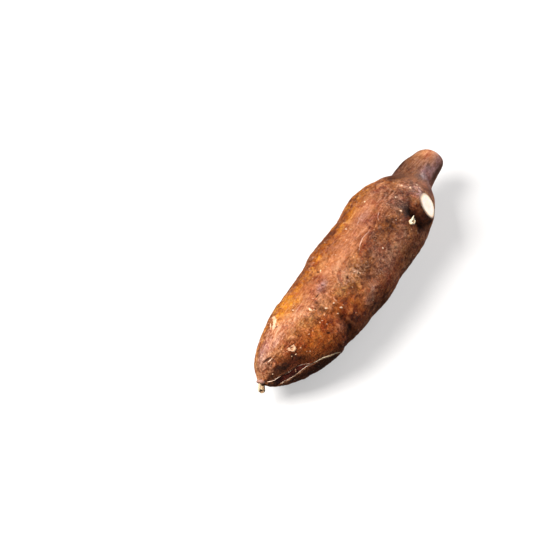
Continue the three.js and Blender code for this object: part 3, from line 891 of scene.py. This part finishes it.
# Cut, torn or healed, the stuff of the root has a fine grain: one colour lies in its low places and
# another on its high ones, each by a share that grows from a start to its full value.
graining, given, shown = new_group(
    "fine grain",
    {
        "Color": "NodeSocketColor", "Vector": "NodeSocketVector", "Size": "NodeSocketFloat",
        "Roughness": "NodeSocketFloat", "Distortion": "NodeSocketFloat",
        "Low Color": "NodeSocketColor", "Low Start": "NodeSocketFloat",
        "Low Full": "NodeSocketFloat", "Low Share": "NodeSocketFloat",
        "High Color": "NodeSocketColor", "High Start": "NodeSocketFloat",
        "High Full": "NodeSocketFloat", "High Share": "NodeSocketFloat",
    },
    {"Color": "NodeSocketColor", "Height": "NodeSocketFloat"},
)
grain = put(graining, "ShaderNodeTexNoise", {
    "Vector": given["Vector"], "Scale": maths(graining, "DIVIDE", 1.0, given["Size"]),
    "Detail": 4.0, "Roughness": given["Roughness"], "Distortion": given["Distortion"],
}).outputs["Fac"]
surface = given["Color"]
for side in ("Low", "High"):
    start, full = given[side + " Start"], given[side + " Full"]
    share = span(graining, grain, start, full, 0.0, given[side + " Share"])
    surface = mix(graining, share, surface, given[side + " Color"])
graining.links.new(surface, shown["Color"])
graining.links.new(grain, shown["Height"])

# Growth rings and torn edges are bands of colour that wander with a soft cloud.
wandering, given, shown = new_group(
    "wandering bands",
    {
        "Value": "NodeSocketFloat", "Vector": "NodeSocketVector", "Size": "NodeSocketFloat",
        "Detail": "NodeSocketFloat", "Roughness": "NodeSocketFloat",
        "Distortion": "NodeSocketFloat", "Wander": "NodeSocketFloat",
    },
    {"Value": "NodeSocketFloat", "Cloud": "NodeSocketFloat"},
)
cloud = put(wandering, "ShaderNodeTexNoise", {
    "Vector": given["Vector"], "Scale": maths(wandering, "DIVIDE", 1.0, given["Size"]),
    "Detail": given["Detail"], "Roughness": given["Roughness"], "Distortion": given["Distortion"],
}).outputs["Fac"]
moved = both(wandering, less(wandering, cloud, 0.5), given["Wander"])
wandering.links.new(plus(wandering, given["Value"], moved), shown["Value"])
wandering.links.new(cloud, shown["Cloud"])

flesh, tree, shader, place = new_material("white_flesh")
bands = placed(tree, wandering, {
    "Value": read(tree, "ring"), "Vector": place, "Size": 4.0, "Detail": 3.0, "Roughness": 0.5,
    "Distortion": 0.3, "Wander": 0.12,
})
surface = ramp(tree, bands["Value"], [
    (0.0, "f8ecd8"), (0.66, "fff8ec"), (0.8, "faecd6"), (0.88, "dcbc97"), (0.94, "9c7453"),
    (1.0, "5c3b28"),
])
streaks = placed(tree, graining, {
    "Color": surface, "Vector": stretched(tree, place, (0.35, 1, 0.35)), "Size": 0.9,
    "Roughness": 0.6, "Distortion": 0.6, "Low Start": 0.4, "Low Full": 0.3, "Low Share": 0.0,
    "High Color": colour("e2c9a2"), "High Start": 0.56, "High Full": 0.72, "High Share": 0.35,
})
cloudy = span(tree, bands["Cloud"], 0.55, 0.75, 0.0, 0.3)
surface = tinted(tree, streaks["Color"], "e9dcc4", cloudy)
tree.links.new(surface, shader.inputs["Base Color"])
shader.inputs["Roughness"].default_value = 0.55
shader.inputs["Subsurface Weight"].default_value = 0.3
shader.inputs["Subsurface Scale"].default_value = 0.003
# A faint warm glow brightens the cut face: painted light, not a lamp.
shader.inputs["Emission Color"].default_value = (1.0, 0.9, 0.76, 1)
shader.inputs["Emission Strength"].default_value = 0.14
roughen(tree, shader, streaks["Height"], 0.5, 0.3)
stump_face.data.materials.append(flesh)
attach(stump_face, "root")


# THE NECK'S CUT END
# The neck was chopped through where it joined the stem. Its heart is woody, with fibres round a
# small pith, and the cut has dried brown.

NECK_SIDES = 128
NECK_SUNK, NECK_DISH, NECK_ROUGHNESS = 0.1, 0.7, 0.5
neck_rim = rim[::SIDES // NECK_SIDES]
neck_way = np.zeros(3)
for side in range(len(neck_rim)):
    neck_way += np.cross(neck_rim[side - 1] - heart, neck_rim[side] - heart)
neck_way = unit(neck_way)
outline = neck_rim - NECK_SUNK * neck_way
neck_cut = cut_face("neck_cut", outline, neck_way, NECK_DISH, NECK_ROUGHNESS)

wood, tree, shader, place = new_material("dried_cut")
bands = placed(tree, wandering, {
    "Value": read(tree, "ring"), "Vector": place, "Size": 3.0, "Detail": 4.0, "Roughness": 0.6,
    "Distortion": 0.5, "Wander": 0.16,
})
surface = ramp(tree, bands["Value"], [
    (0.0, "3a2112"), (0.08, "6a4526"), (0.16, "c7a274"), (0.55, "b98f60"), (0.66, "8a5f3a"),
    (0.74, "c9ad86"), (0.86, "a9825c"), (0.92, "5d3822"), (1.0, "402418"),
])
fibres = placed(tree, graining, {
    "Color": surface, "Vector": stretched(tree, place, (0.3, 1, 1)), "Size": 0.45, "Roughness": 0.7,
    "Low Color": colour("5b3820"), "Low Start": 0.62, "Low Full": 0.4, "Low Share": 0.75,
    "High Color": colour("dcc097"), "High Start": 0.6, "High Full": 0.75, "High Share": 0.6,
})
tree.links.new(fibres["Color"], shader.inputs["Base Color"])
shader.inputs["Roughness"].default_value = 0.8
roughen(tree, shader, fibres["Height"], 0.9, 0.5)
neck_cut.data.materials.append(wood)
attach(neck_cut, "root")


# THE ROOTLETS
# Thin feeding roots grew from the body and snapped off short when it was pulled. Each left a
# waisted stub with a torn woody ring, a hollow heart and a fibre or two.

PEG_SIDES = 28
HOLLOW_DEPTH = 0.14
# Each stub: along, turn, reach, lean to the neck, length, radius, and how pale it is.
ROOTLETS = [
    (160.5, 131, 35, 4, 8, 2.2, 1.0),
    (189, 334, 27.6, 18, 7, 1.6, 0.35),
    (54, 316, 29.4, -24, 7, 1.9, 0.45),
]
# Torn fibres in each stub's mouth: length, place to one side, thickness, and share of the stub's way.
ROOTLET_FIBRES = [
    (3.4, 0.2, 0.42, 0.5),
    (1.3, -0.7, 0.16, 1.0),
    (1.0, 0.8, 0.14, 1.0),
]


def peg(foot, way, length, radius, seed, mouth=None):
    """A broken stub with a torn, hollow end that faces mouth: points, faces, and how far in."""
    mouth = way if mouth is None else unit(mouth)
    turns = np.arange(PEG_SIDES) * 2 * math.pi / PEG_SIDES
    torn = np.sin(3 * turns + seed) + 0.7 * np.sin(7 * turns + 2 * seed)
    ridge = 1 + 0.06 * np.sin(5 * turns + seed) + 0.05 * np.sin(8 * turns + 3 * seed)
    # Radius and share of the length, up the outside, over the torn edge, and down into the hollow.
    rows = [
        (1.5, 0.0), (1.22, 0.14), (1.02, 0.3), (0.92, 0.48), (0.92, 0.64), (1.0, 0.76), (1.06, 0.86),
        (1.0, 0.94), (0.84, 1.0), (0.62, 1.0), (0.42, 0.96), (0.24, 0.9), (0.1, 0.87),
    ]
    points = []
    end = foot + way * length
    reached = 0
    for size, share in rows:
        reached = max(reached, share)
        lean = ease(reached, 0.5, 1.0)
        facing = unit((1 - lean) * way + lean * mouth)
        middle = foot + way * length * share if lean < 1 else end - mouth * length * (1 - share)
        rise = 0.07 * radius * torn * ease(share, 0.7, 1.0)
        rough = radius * size * ridge
        first, second = across_from(facing)
        rounds = np.cos(turns)[:, None] * first + np.sin(turns)[:, None] * second
        points.append(middle + rise[:, None] * facing + rough[:, None] * rounds)
    inner = np.linspace(0, 1, len(rows))
    hollow = end - mouth * length * HOLLOW_DEPTH
    points = np.vstack([*points, [foot], [hollow]])
    faces = ring_faces(len(rows), PEG_SIDES)
    faces += fan_faces(len(points) - 2, 0, PEG_SIDES, outward=False)
    faces += fan_faces(len(points) - 1, (len(rows) - 1) * PEG_SIDES, PEG_SIDES, outward=True)
    return points, faces, np.append(np.repeat(inner, PEG_SIDES), [0, 1])


def joined(name, parts, **values):
    """One piece from several meshes of points and faces, with values for their points."""
    points, faces, first = [], [], 0
    for part_points, part_faces in parts:
        points.append(part_points)
        faces += [tuple(first + corner for corner in face) for face in part_faces]
        first += len(part_points)
    thing = piece_from(name, np.vstack(points), faces)
    for value_name, value in values.items():
        give(thing, value_name, np.concatenate(value))
    return thing


def spine(start, way, length, radius, bend, sides=7, steps=9):
    """A tapering torn fibre from start, bent towards bend."""
    first, second = across_from(way)
    turns = np.arange(sides) * 2 * math.pi / sides
    shares = np.linspace(0, 1, steps)
    middles = start + shares[:, None] * length * way + (shares**2)[:, None] * np.array(bend)
    sizes = radius * (1 - 0.85 * shares**1.5)
    rounds = np.cos(turns)[:, None] * first + np.sin(turns)[:, None] * second
    points = (middles[:, None] + sizes[:, None, None] * rounds[None]).reshape(-1, 3)
    points = np.vstack([points, [start], [middles[-1] + way * sizes[-1]]])
    faces = ring_faces(steps, sides)
    faces += fan_faces(len(points) - 2, 0, sides, outward=False)
    faces += fan_faces(len(points) - 1, (steps - 1) * sides, sides, outward=True)
    return points, faces


def woody_skin(name):
    """Dry rootlet skin, tan to brown, paler at the torn end, for pieces with values inner and pale."""
    material, tree, shader, place = new_material(name)
    along_it = placed(tree, wandering, {
        "Value": read(tree, "inner"), "Vector": place, "Size": 2.4, "Detail": 3.0,
        "Roughness": 0.6, "Wander": 0.3,
    })["Value"]
    # The inner end, down in the hollow, is darkest: painted shade.
    brown = ramp(tree, along_it, [
        (0.0, "5a3320"), (0.3, "6e4630"), (0.5, "80583e"), (0.6, "c59c6c"), (0.72, "d3b083"),
        (0.86, "7c5430"), (1.0, "2c170c"),
    ])
    cream = ramp(tree, along_it, [
        (0.0, "a9714a"), (0.25, "d3a878"), (0.5, "f0ddb6"), (0.68, "f8ecd0"), (0.84, "e2c398"),
        (0.94, "b98c5c"), (1.0, "8a5c34"),
    ])
    grain = placed(tree, graining, {
        "Color": mix(tree, read(tree, "pale"), brown, cream), "Vector": place, "Size": 0.7,
        "Roughness": 0.65, "Distortion": 0.4,
        "Low Color": colour("553019"), "Low Start": 0.42, "Low Full": 0.3, "Low Share": 0.6,
        "High Color": colour("f2dfba"), "High Start": 0.6, "High Full": 0.72, "High Share": 0.45,
    })
    tree.links.new(grain["Color"], shader.inputs["Base Color"])
    shader.inputs["Roughness"].default_value = 0.7
    roughen(tree, shader, grain["Height"], 0.8, 0.4)
    return material


rootlet_skin = woody_skin("rootlet_skin")
parts, inners, pales = [], [], []
for number, (at, side, reach, lean, length, radius, pale) in enumerate(ROOTLETS):
    end, way = standing(at, side, reach, lean)
    end = end + origin_shift
    points, stub_faces, inner = peg(end - length * way, way, length, radius, number + 1.0)
    parts.append((points, stub_faces))
    inners.append(inner)
    pales.append(np.full(len(points), pale))
    neckward = square_to(way, np.array([0.75, 0.6, 0.3]))
    beside = np.cross(way, neckward)
    for size, spread, thick, outward in ROOTLET_FIBRES:
        start = end - 0.9 * way + radius * (0.62 * neckward + spread * 0.8 * beside)
        fibre_way = unit(outward * way + neckward)
        fibre = spine(start, fibre_way, size * radius / 2.2, thick * radius, 0.25 * way)
        parts.append(fibre)
        inners.append(np.full(len(fibre[0]), 0.66))
        pales.append(np.full(len(fibre[0]), max(pale, 0.6)))
rootlets = joined("rootlets", parts, inner=inners, pale=pales)
rootlets.data.materials.append(rootlet_skin)
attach(rootlets, "root")


# THE TAIL'S TIP
# The thin root that the tail ran on into snapped off just past the nose. Its short stub is ridged,
# with a torn pale rim round a dark hollow.

TIP_FOOT = np.array([3.0, 5.3, 25.7])
TIP_END = np.array([-4.3, 0.6, 21.7])
TIP_RADIUS = 2.5
TIP_MOUTH = (-0.8, -0.45, 0.35)
# Ridges of fibre along the stub: angle round it, where each starts as a share of it, and length.
TIP_FIBRES = [
    (0.4, 0.35, 5.0),
    (1.3, 0.3, 5.6),
    (2.2, 0.45, 4.2),
    (4.1, 0.4, 4.8),
    (5.3, 0.5, 3.6),
]
tip_length = np.linalg.norm(TIP_END - TIP_FOOT)
tip_way = (TIP_END - TIP_FOOT) / tip_length
tip_foot = TIP_FOOT + origin_shift
points, tip_faces, inner = peg(tip_foot, tip_way, tip_length, TIP_RADIUS, 2.3, TIP_MOUTH)
parts, inners = [(points, tip_faces)], [inner]
first, second = across_from(tip_way)
for angle, start_share, size in TIP_FIBRES:
    beside = math.cos(angle) * first + math.sin(angle) * second
    start = tip_foot + tip_way * tip_length * start_share + 0.84 * TIP_RADIUS * beside
    fibre = spine(start, tip_way, size, 0.5, 0.1 * beside)
    parts.append(fibre)
    inners.append(np.full(len(fibre[0]), 0.62))

# A sunken hollow on its upper side, coloured darker inside as painted shade.
HOLLOW_ALONG, HOLLOW_SIZE, HOLLOW_SUNK = 4.3, 2.0, 0.8
hollow_way = np.array([-0.13, -0.64, 0.76])
hollow_at = tip_foot + HOLLOW_ALONG * tip_way + TIP_RADIUS * hollow_way
for number, (part_points, part_faces) in enumerate(parts):
    near = np.linalg.norm(part_points - hollow_at, axis=1)
    near = np.minimum(1.8 * hump(near, HOLLOW_SIZE), 1)
    parts[number] = (part_points - (HOLLOW_SUNK * near)[:, None] * hollow_way, part_faces)
    inners[number] = np.maximum(inners[number], near)
parts = [(boxed(part_points), part_faces) for part_points, part_faces in parts]

# It is paler towards the light, and darkens to its shaded side and into its mouth.
shaded_way = np.array([0.57, -0.82, 0.0])
pales = []
for (part_points, _), inner in zip(parts, inners):
    lower = (part_points - tip_foot) @ shaded_way / TIP_RADIUS
    shade = 1 - 0.85 * ease(lower, -0.4, 0.5)
    pales.append((0.36 + 0.3 * ease(-lower, 0.4, 1)) * shade * (1 - 0.9 * ease(inner, 0.75, 0.95)))
tail_tip = joined("tail_tip", parts, inner=inners, pale=pales)
tail_tip.data.materials.append(rootlet_skin)
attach(tail_tip, "root")


# THE SPLIT'S LIPS, AND SCRATCHES
# The skin split as the tail swelled. The torn lips are thin rind, pinkish near the nose and thick
# and cream further back. Scratches raised a few pale shreds elsewhere.

STRIP_STEP = 0.4
STRIP_SECTION = np.array([
    (-1, -0.6), (-0.8, 0.35), (-0.3, 0.95), (0.3, 1.0), (0.8, 0.35), (1, -0.6), (0, -1.0),
])


def laid_strip(route, half_widths, heights, seed):
    """A thin strip on the skin, along a route of along and turn: points and faces."""
    route = np.asarray(route, float)
    runs = np.hypot(np.diff(route[:, 0]), np.diff(route[:, 1]) * mm_per_degree(route[1:, 0]))
    far = np.concatenate([[0], np.cumsum(runs)])
    shares = np.linspace(0, 1, max(int(far[-1] / STRIP_STEP), 6))
    at, side = smooth_through(far, route, shares * far[-1]).T
    ahead, aside = np.gradient(at), np.gradient(side) * mm_per_degree(at)
    size = np.hypot(ahead, aside)
    stations = np.linspace(0, 1, len(half_widths))
    rough = np.array([noise.noise(Vector((share * far[-1] * 0.8, seed, 0.0))) for share in shares])
    tapered = np.clip(np.sin(math.pi * np.clip(shares, 0.005, 0.995)), 0, 1) ** 0.3
    wide = np.interp(shares, stations, half_widths) * (1 + 0.6 * rough) * tapered
    tall = np.interp(shares, stations, heights) * (1 - 0.7 * rough) * tapered
    offsets = wide[:, None] * STRIP_SECTION[:, 0]
    lifts = tall[:, None] * STRIP_SECTION[:, 1]
    spread_along = at[:, None] - offsets * (aside / size)[:, None]
    spread_turn = side[:, None] + offsets * (ahead / size / mm_per_degree(at))[:, None]
    points, out, _, _ = skin(np.maximum(spread_along.ravel(), 0.1), spread_turn.ravel())
    points = points + lifts.reshape(-1, 1) * out
    sides = len(STRIP_SECTION)
    faces = ring_faces(len(at), sides)
    faces += [tuple(range(sides - 1, -1, -1)), tuple(range(len(points) - sides, len(points)))]
    return boxed(points), faces


# Each: route, half widths along it, heights, and tint from brown -1 through pink 0 to cream 1.
STRIPS = [
    (LOWER_LIP[1:8], (0.26, 0.36, 0.34, 0.42), (0.4, 0.5, 0.46, 0.6), 0.45),
    (LOWER_LIP[7:12], (0.6, 0.8, 0.75, 0.55, 0.4), (0.8, 1.0, 0.95, 0.8, 0.6), 1.0),
    (LOWER_LIP[11:], (0.36, 0.34, 0.3), (0.5, 0.45, 0.3), 0.7),
    (UPPER_LIP[:4], (0.5, 0.6, 0.42), (0.5, 0.55, 0.4), 0.4),
    (UPPER_LIP[3:6], (0.28, 0.3, 0.22), (0.32, 0.35, 0.25), 0.2),
    (UPPER_LIP[5:], (0.18, 0.22, 0.18), (0.22, 0.25, 0.2), 0.1),
    ([(131.5, 92), (125, 89.8), (118.7, 91.1), (113, 94.4)], (0.18, 0.28, 0.2), (0.12, 0.18, 0.12), 0.2),
    ([(9.6, 81.6), (11.4, 84.6), (13.4, 86.4)], (0.3, 0.5, 0.3), (0.2, 0.3, 0.2), 0.4),
    ([(140, 66), (137, 70), (132, 72)], (0.16, 0.2, 0.14), (0.1, 0.14, 0.1), 0.0),
    ([(150, 88), (146, 90), (143, 95)], (0.14, 0.18, 0.13), (0.1, 0.14, 0.1), 0.0),
    ([(112, 250), (104, 253), (97, 251), (90, 255)], (0.25, 0.45, 0.3), (0.15, 0.28, 0.15), 0.7),
    ([(160, 300), (152, 296), (147, 297)], (0.2, 0.4, 0.2), (0.15, 0.25, 0.15), 0.6),
]

# The nose's skin stands round the tail's stub as a collar.
COLLAR_STEPS = 8
COLLAR_GAP, COLLAR_PLACE, COLLAR_TINT = 0.5, 2.8, -0.6
collar_at = tip_foot + COLLAR_PLACE * tip_way
first, second = across_from(tip_way)
angles = np.arange(PEG_SIDES) * 2 * math.pi / PEG_SIDES
outward = np.cos(angles)[:, None] * first + np.sin(angles)[:, None] * second
bulge = 1.0 + 0.2 * np.sin(3 * angles + 1) + 0.15 * np.sin(5 * angles)
bulge += 0.5 * np.maximum(outward @ hollow_way, 0)
collar = []
for angle in np.arange(COLLAR_STEPS) * 2 * math.pi / COLLAR_STEPS:
    reach = TIP_RADIUS + COLLAR_GAP + bulge * math.cos(angle)
    rise = bulge * math.sin(angle)
    collar.append(collar_at + reach[:, None] * outward + rise[:, None] * tip_way)
collar = boxed(np.vstack(collar))
collar_faces = ring_faces(COLLAR_STEPS, PEG_SIDES)
last = (COLLAR_STEPS - 1) * PEG_SIDES
for side in range(PEG_SIDES):
    after = (side + 1) % PEG_SIDES
    collar_faces.append((last + side, last + after, after, side))
parts, tints = [(collar, collar_faces)], [np.full(len(collar), COLLAR_TINT)]
for number, (route, half_widths, heights, tint) in enumerate(STRIPS):
    strip = laid_strip(route, half_widths, heights, seed=3.7 * number)
    parts.append(strip)
    tints.append(np.full(len(strip[0]), tint))
split_lips = joined("split_lips", parts, tint=tints)

torn_rind, tree, shader, place = new_material("torn_rind")
cloud = speckle(tree, place, 3.5, 3.0, 0.6)
pinkish = ramp(tree, cloud, [(0.35, "a06c5c"), (0.5, "d0a08c"), (0.65, "ecc8b4")])
creamy = ramp(tree, cloud, [(0.35, "e0bb92"), (0.5, "f6deba"), (0.65, "fff2dc")])
surface = mix(tree, read(tree, "tint"), pinkish, creamy)
surface = tinted(tree, surface, "7c4a3c", span(tree, read(tree, "tint"), 0.0, -1.0))
grain = placed(tree, graining, {
    "Color": surface, "Vector": place, "Size": 0.5, "Roughness": 0.7,
    "Low Color": colour("8a5a3e"), "Low Start": 0.42, "Low Full": 0.3, "Low Share": 0.7,
    "High Start": 0.6, "High Full": 0.7, "High Share": 0.0,
})
tree.links.new(grain["Color"], shader.inputs["Base Color"])
shader.inputs["Roughness"].default_value = 0.6
roughen(tree, shader, grain["Height"], 0.7, 0.3)
split_lips.data.materials.append(torn_rind)
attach(split_lips, "root")


# SCARS AND FLECKS
# Where rootlets and scales came off, the skin healed in low corky scabs, from broad pale scars to
# flecks the size of a grain of salt. Most lie across the root, as its breathing pores do.

SCAB_RINGS, SCAB_SIDES = 4, 12
SCARS = np.array([
    # along, turn, length, width in mm, lean from the root's line in degrees, rise, tint
    (25.4, 107.6, 2.4, 2.4, 10, 0.2, 0.0),
    (27.6, 104.4, 1.3, 1.0, 30, 0.3, 0.35),
    (23.2, 104.6, 1.6, 1.3, -20, 0.3, 0.25),
    (26.8, 111.2, 1.4, 0.9, 60, 0.3, 0.3),
    (21.3, 117.2, 1.3, 0.8, 50, 0.35, 0.7),
    (23.9, 119.6, 1.5, 0.7, 20, 0.3, 0.7),
    (68.3, 107.9, 1.4, 1.5, 0, 0.35, 0.6),
    (62.0, 104.3, 1.2, 3.0, -24, 0.4, 0.7),
    (69.2, 119.8, 1.4, 3.0, -30, 0.45, 0.7),
    (54.6, 87.6, 2.2, 4.2, 14, 0.3, 0.5),
    (55.9, 92.0, 1.2, 1.6, 0, 0.25, 0.4),
    (64.6, 122.3, 1.0, 1.8, -20, 0.25, 0.5),
    (126.9, 118.6, 1.0, 1.9, 10, 0.3, 0.95),
    (85.6, 63.7, 1.2, 1.4, 0, 0.25, 0.9),
    (98.5, 108.6, 1.2, 1.7, 30, 0.3, 0.7),
    (97.4, 105.2, 0.8, 1.3, -20, 0.25, 0.6),
    (99.4, 112.0, 0.8, 1.3, 20, 0.25, 0.6),
    (92.7, 152.0, 0.9, 1.2, 0, 0.3, 0.7),
    (160.8, 109.7, 1.8, 2.4, 20, 0.35, 0.6),
    (154.5, 60.6, 1.9, 1.7, 0, 0.3, 0.85),
    (126.4, 59.9, 1.3, 1.6, 30, 0.3, 0.85),
    (169.0, 92.5, 1.1, 1.2, 0, 0.25, 0.8),
    (182.6, 86.4, 1.2, 1.8, -20, 0.3, 0.8),
    (184.3, 99.4, 1.6, 3.0, 24, 0.35, 0.75),
    (190.9, 106.2, 1.0, 1.7, -10, 0.3, 0.8),
    (190.0, 112.3, 1.0, 1.3, 0, 0.25, 0.8),
    (5.8, 118.2, 0.9, 1.2, 0, 0.3, 0.3),
    (78, 262, 3.0, 3.4, 0, 0.5, 0.7),
    (140, 228, 6.0, 2.2, 15, 0.4, 0.75),
    (30, 300, 2.4, 2.8, 0, 0.45, 0.8),
])


def random_scabs(count, size, elongation, tint):
    """Flecks at random places, most of them lying across the root."""
    length = rng.uniform(*size, count)
    return np.stack([
        rng.uniform(12, 188, count),
        rng.uniform(0, 360, count),
        length,
        length * rng.uniform(*elongation, count),
        rng.normal(0, 28, count),
        length * rng.uniform(0.12, 0.24, count),
        rng.uniform(*tint, count),
    ], 1)


def scabs(places):
    """Low corky domes on the skin: points, faces, and each point's tint and nearness to the edge."""
    count = len(places)
    at, side, length, width, lean, rise, tint = places.T
    shares = np.repeat(np.arange(1, SCAB_RINGS + 1) / SCAB_RINGS, SCAB_SIDES)
    angles = np.tile(np.arange(SCAB_SIDES) * 2 * math.pi / SCAB_SIDES, SCAB_RINGS)
    shares = np.concatenate([[0], shares, [0]])
    angles = np.concatenate([[0], angles, [0]])
    wobble = 1 + 0.2 * np.sin(2 * angles + 7 * at[:, None])
    wobble += 0.14 * np.sin(3 * angles + 3 * side[:, None])
    ahead = shares * wobble * np.cos(angles) * length[:, None] / 2
    beside = shares * wobble * np.sin(angles) * width[:, None] / 2
    tilt = np.radians(lean)[:, None]
    along = at[:, None] + ahead * np.cos(tilt) - beside * np.sin(tilt)
    turn = side[:, None] + (ahead * np.sin(tilt) + beside * np.cos(tilt)) / mm_per_degree(at)[:, None]
    lift = np.tile(np.maximum(1 - shares**2, 0) ** 0.6 - 0.35, (count, 1))
    lift[:, -1] = -1.2
    lumpy = 1 + 0.3 * np.sin(9 * ahead + side[:, None]) * np.sin(8 * beside + at[:, None])
    points, out, _, _ = skin(along.ravel(), turn.ravel())
    points = points + (lift * lumpy * rise[:, None]).reshape(-1, 1) * out
    each = 2 + SCAB_RINGS * SCAB_SIDES
    pattern = fan_faces(0, 1, SCAB_SIDES, outward=False) + ring_faces(SCAB_RINGS, SCAB_SIDES, 1)
    pattern += fan_faces(each - 1, 1 + (SCAB_RINGS - 1) * SCAB_SIDES, SCAB_SIDES, outward=True)
    parts = [(boxed(points[n * each:(n + 1) * each]), pattern) for n in range(count)]
    return parts, [np.full(each, value) for value in tint], [shares] * count


all_scabs = np.vstack([
    SCARS,
    random_scabs(50, (0.7, 1.1), (1.3, 2.6), (0.0, 0.3)),
    random_scabs(260, (0.4, 0.75), (1.2, 2.8), (0.0, 0.4)),
])
parts, tints, edges = scabs(all_scabs)

# Two healed wounds on the tail: a long hooked one, and a ring of callus that did not quite close.
RING_AT, RING_SIDE, RING_SIZE = 25.4, 107.0, 1.65
around = np.radians(np.arange(-90, 216, 25))
ring_route = np.stack([
    RING_AT + RING_SIZE * np.cos(around),
    RING_SIDE + RING_SIZE * np.sin(around) / mm_per_degree(np.array([RING_AT])),
], 1)
hook_route = [(38.2, 38), (39.0, 43), (36.6, 48), (33.2, 52), (29.8, 54)]

# Each ridge of callus: route, half widths along it, heights, and tint.
RIDGES = [
    (hook_route, (1.2, 1.7, 1.3, 1.7, 0.9), (0.5, 0.8, 0.5, 0.7, 0.3), 0.4),
    ([(34.6, 41.5), (31.8, 44.5), (29.6, 48.4)], (0.4, 0.7, 0.5), (0.25, 0.35, 0.25), 0.25),
    (ring_route, (0.4, 0.95, 0.7, 1.2, 0.7, 0.4), (0.3, 0.7, 0.45, 0.8, 0.4, 0.2), 0.3),
    ([(24.8, 104.2), (23.6, 101.6), (22.6, 99.6)], (0.7, 0.9, 0.5), (0.25, 0.3, 0.1), 0.25),
]
for route, half_widths, heights, tint in RIDGES:
    callus = laid_strip(route, half_widths, heights, seed=11.3 * tint)
    parts.append(callus)
    tints.append(np.full(len(callus[0]), tint))
    edges.append(np.full(len(callus[0]), 0.4))
scars = joined("scars", parts, tint=tints, edge=edges)

scab, tree, shader, place = new_material("corky_scab")
cloud = speckle(tree, place, 1.8, 3.0, 0.6)
tanned = ramp(tree, cloud, [(0.35, "a96c45"), (0.5, "c98f66"), (0.65, "ddb08a")])
pale_tone = ramp(tree, cloud, [(0.3, "dcae84"), (0.48, "f0d2ac"), (0.65, "fae6cc")])
surface = mix(tree, read(tree, "tint"), tanned, pale_tone)
grain = placed(tree, graining, {
    "Color": surface, "Vector": place, "Size": 0.6, "Roughness": 0.7,
    "Low Color": colour("8d5534"), "Low Start": 0.42, "Low Full": 0.28, "Low Share": 0.7,
    "High Start": 0.6, "High Full": 0.7, "High Share": 0.0,
})
edge = span(tree, read(tree, "edge"), 0.6, 1.0, 0.0, 0.7)
surface = tinted(tree, grain["Color"], "a3653f", edge)
tree.links.new(surface, shader.inputs["Base Color"])
shader.inputs["Roughness"].default_value = 0.62
roughen(tree, shader, grain["Height"], 0.8, 0.4)
scars.data.materials.append(scab)
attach(scars, "root")


# THE LIGHT, THE FLOOR AND THE CAMERA
# Soft studio light from the upper left, on a plain pale floor.

FLOOR_REACH = 3000
FLOOR_GAP = 0.0003
corners = [
    (aside * FLOOR_REACH, ahead * FLOOR_REACH, 0)
    for aside, ahead in ((-1, -1), (1, -1), (1, 1), (-1, 1))
]
floor = piece_from("floor", corners, [(0, 1, 2, 3)])
floor.location.z = cad_low.z - FLOOR_GAP
floor_paint, tree, shader, place = new_material("floor")
seen = put(tree, "ShaderNodeLightPath").outputs["Is Camera Ray"]
paint = mix(tree, seen, (0.16, 0.15, 0.14, 1), (0.44, 0.44, 0.44, 1))
glow = mix(tree, seen, (0, 0, 0, 1), (0.46, 0.46, 0.46, 1))
tree.links.new(paint, shader.inputs["Base Color"])
tree.links.new(glow, shader.inputs["Emission Color"])
shader.inputs["Emission Strength"].default_value = 1.0
shader.inputs["Roughness"].default_value = 0.9
floor.data.materials.append(floor_paint)

AIM = Vector((-35.84, 50.86, 29.72)) * MM
DISTANCE = 956 * MM
AZIMUTH, ELEVATION = math.radians(-55.4), math.radians(58)
back = Vector((
    math.sin(AZIMUTH) * math.cos(ELEVATION),
    -math.cos(AZIMUTH) * math.cos(ELEVATION),
    math.sin(ELEVATION),
))
eye = bpy.data.objects.new("camera", bpy.data.cameras.new("camera"))
eye.data.lens = 85
eye.data.sensor_width = 36
eye.location = AIM + back * DISTANCE
eye.rotation_mode = "QUATERNION"
eye.rotation_quaternion = (-back).to_track_quat("-Z", "Y")
bpy.context.scene.collection.objects.link(eye)
bpy.context.scene.camera = eye


def soft_light(name, way, distance, size, power, tint):
    """A square soft box that shines at the root from that way."""
    lamp = bpy.data.objects.new(name, bpy.data.lights.new(name, "AREA"))
    lamp.data.size = size
    lamp.data.energy = power
    lamp.data.color = tint
    way = Vector(way).normalized()
    lamp.location = way * distance
    lamp.rotation_mode = "QUATERNION"
    lamp.rotation_quaternion = (-way).to_track_quat("-Z", "Y")
    bpy.context.scene.collection.objects.link(lamp)


soft_light("key", (-0.42, 0.46, 0.80), 1.1, 0.5, 23, (1.0, 0.97, 0.94))
soft_light("rim", (0.97, -0.14, 0.26), 1.3, 0.5, 17, (1.0, 0.96, 0.96))
world = bpy.data.worlds.new("studio")
world.use_nodes = True
world.node_tree.nodes["Background"].inputs["Color"].default_value = (1.0, 0.94, 0.9, 1)
world.node_tree.nodes["Background"].inputs["Strength"].default_value = 0.14
bpy.context.scene.world = world
bpy.context.scene.view_settings.view_transform = "Standard"
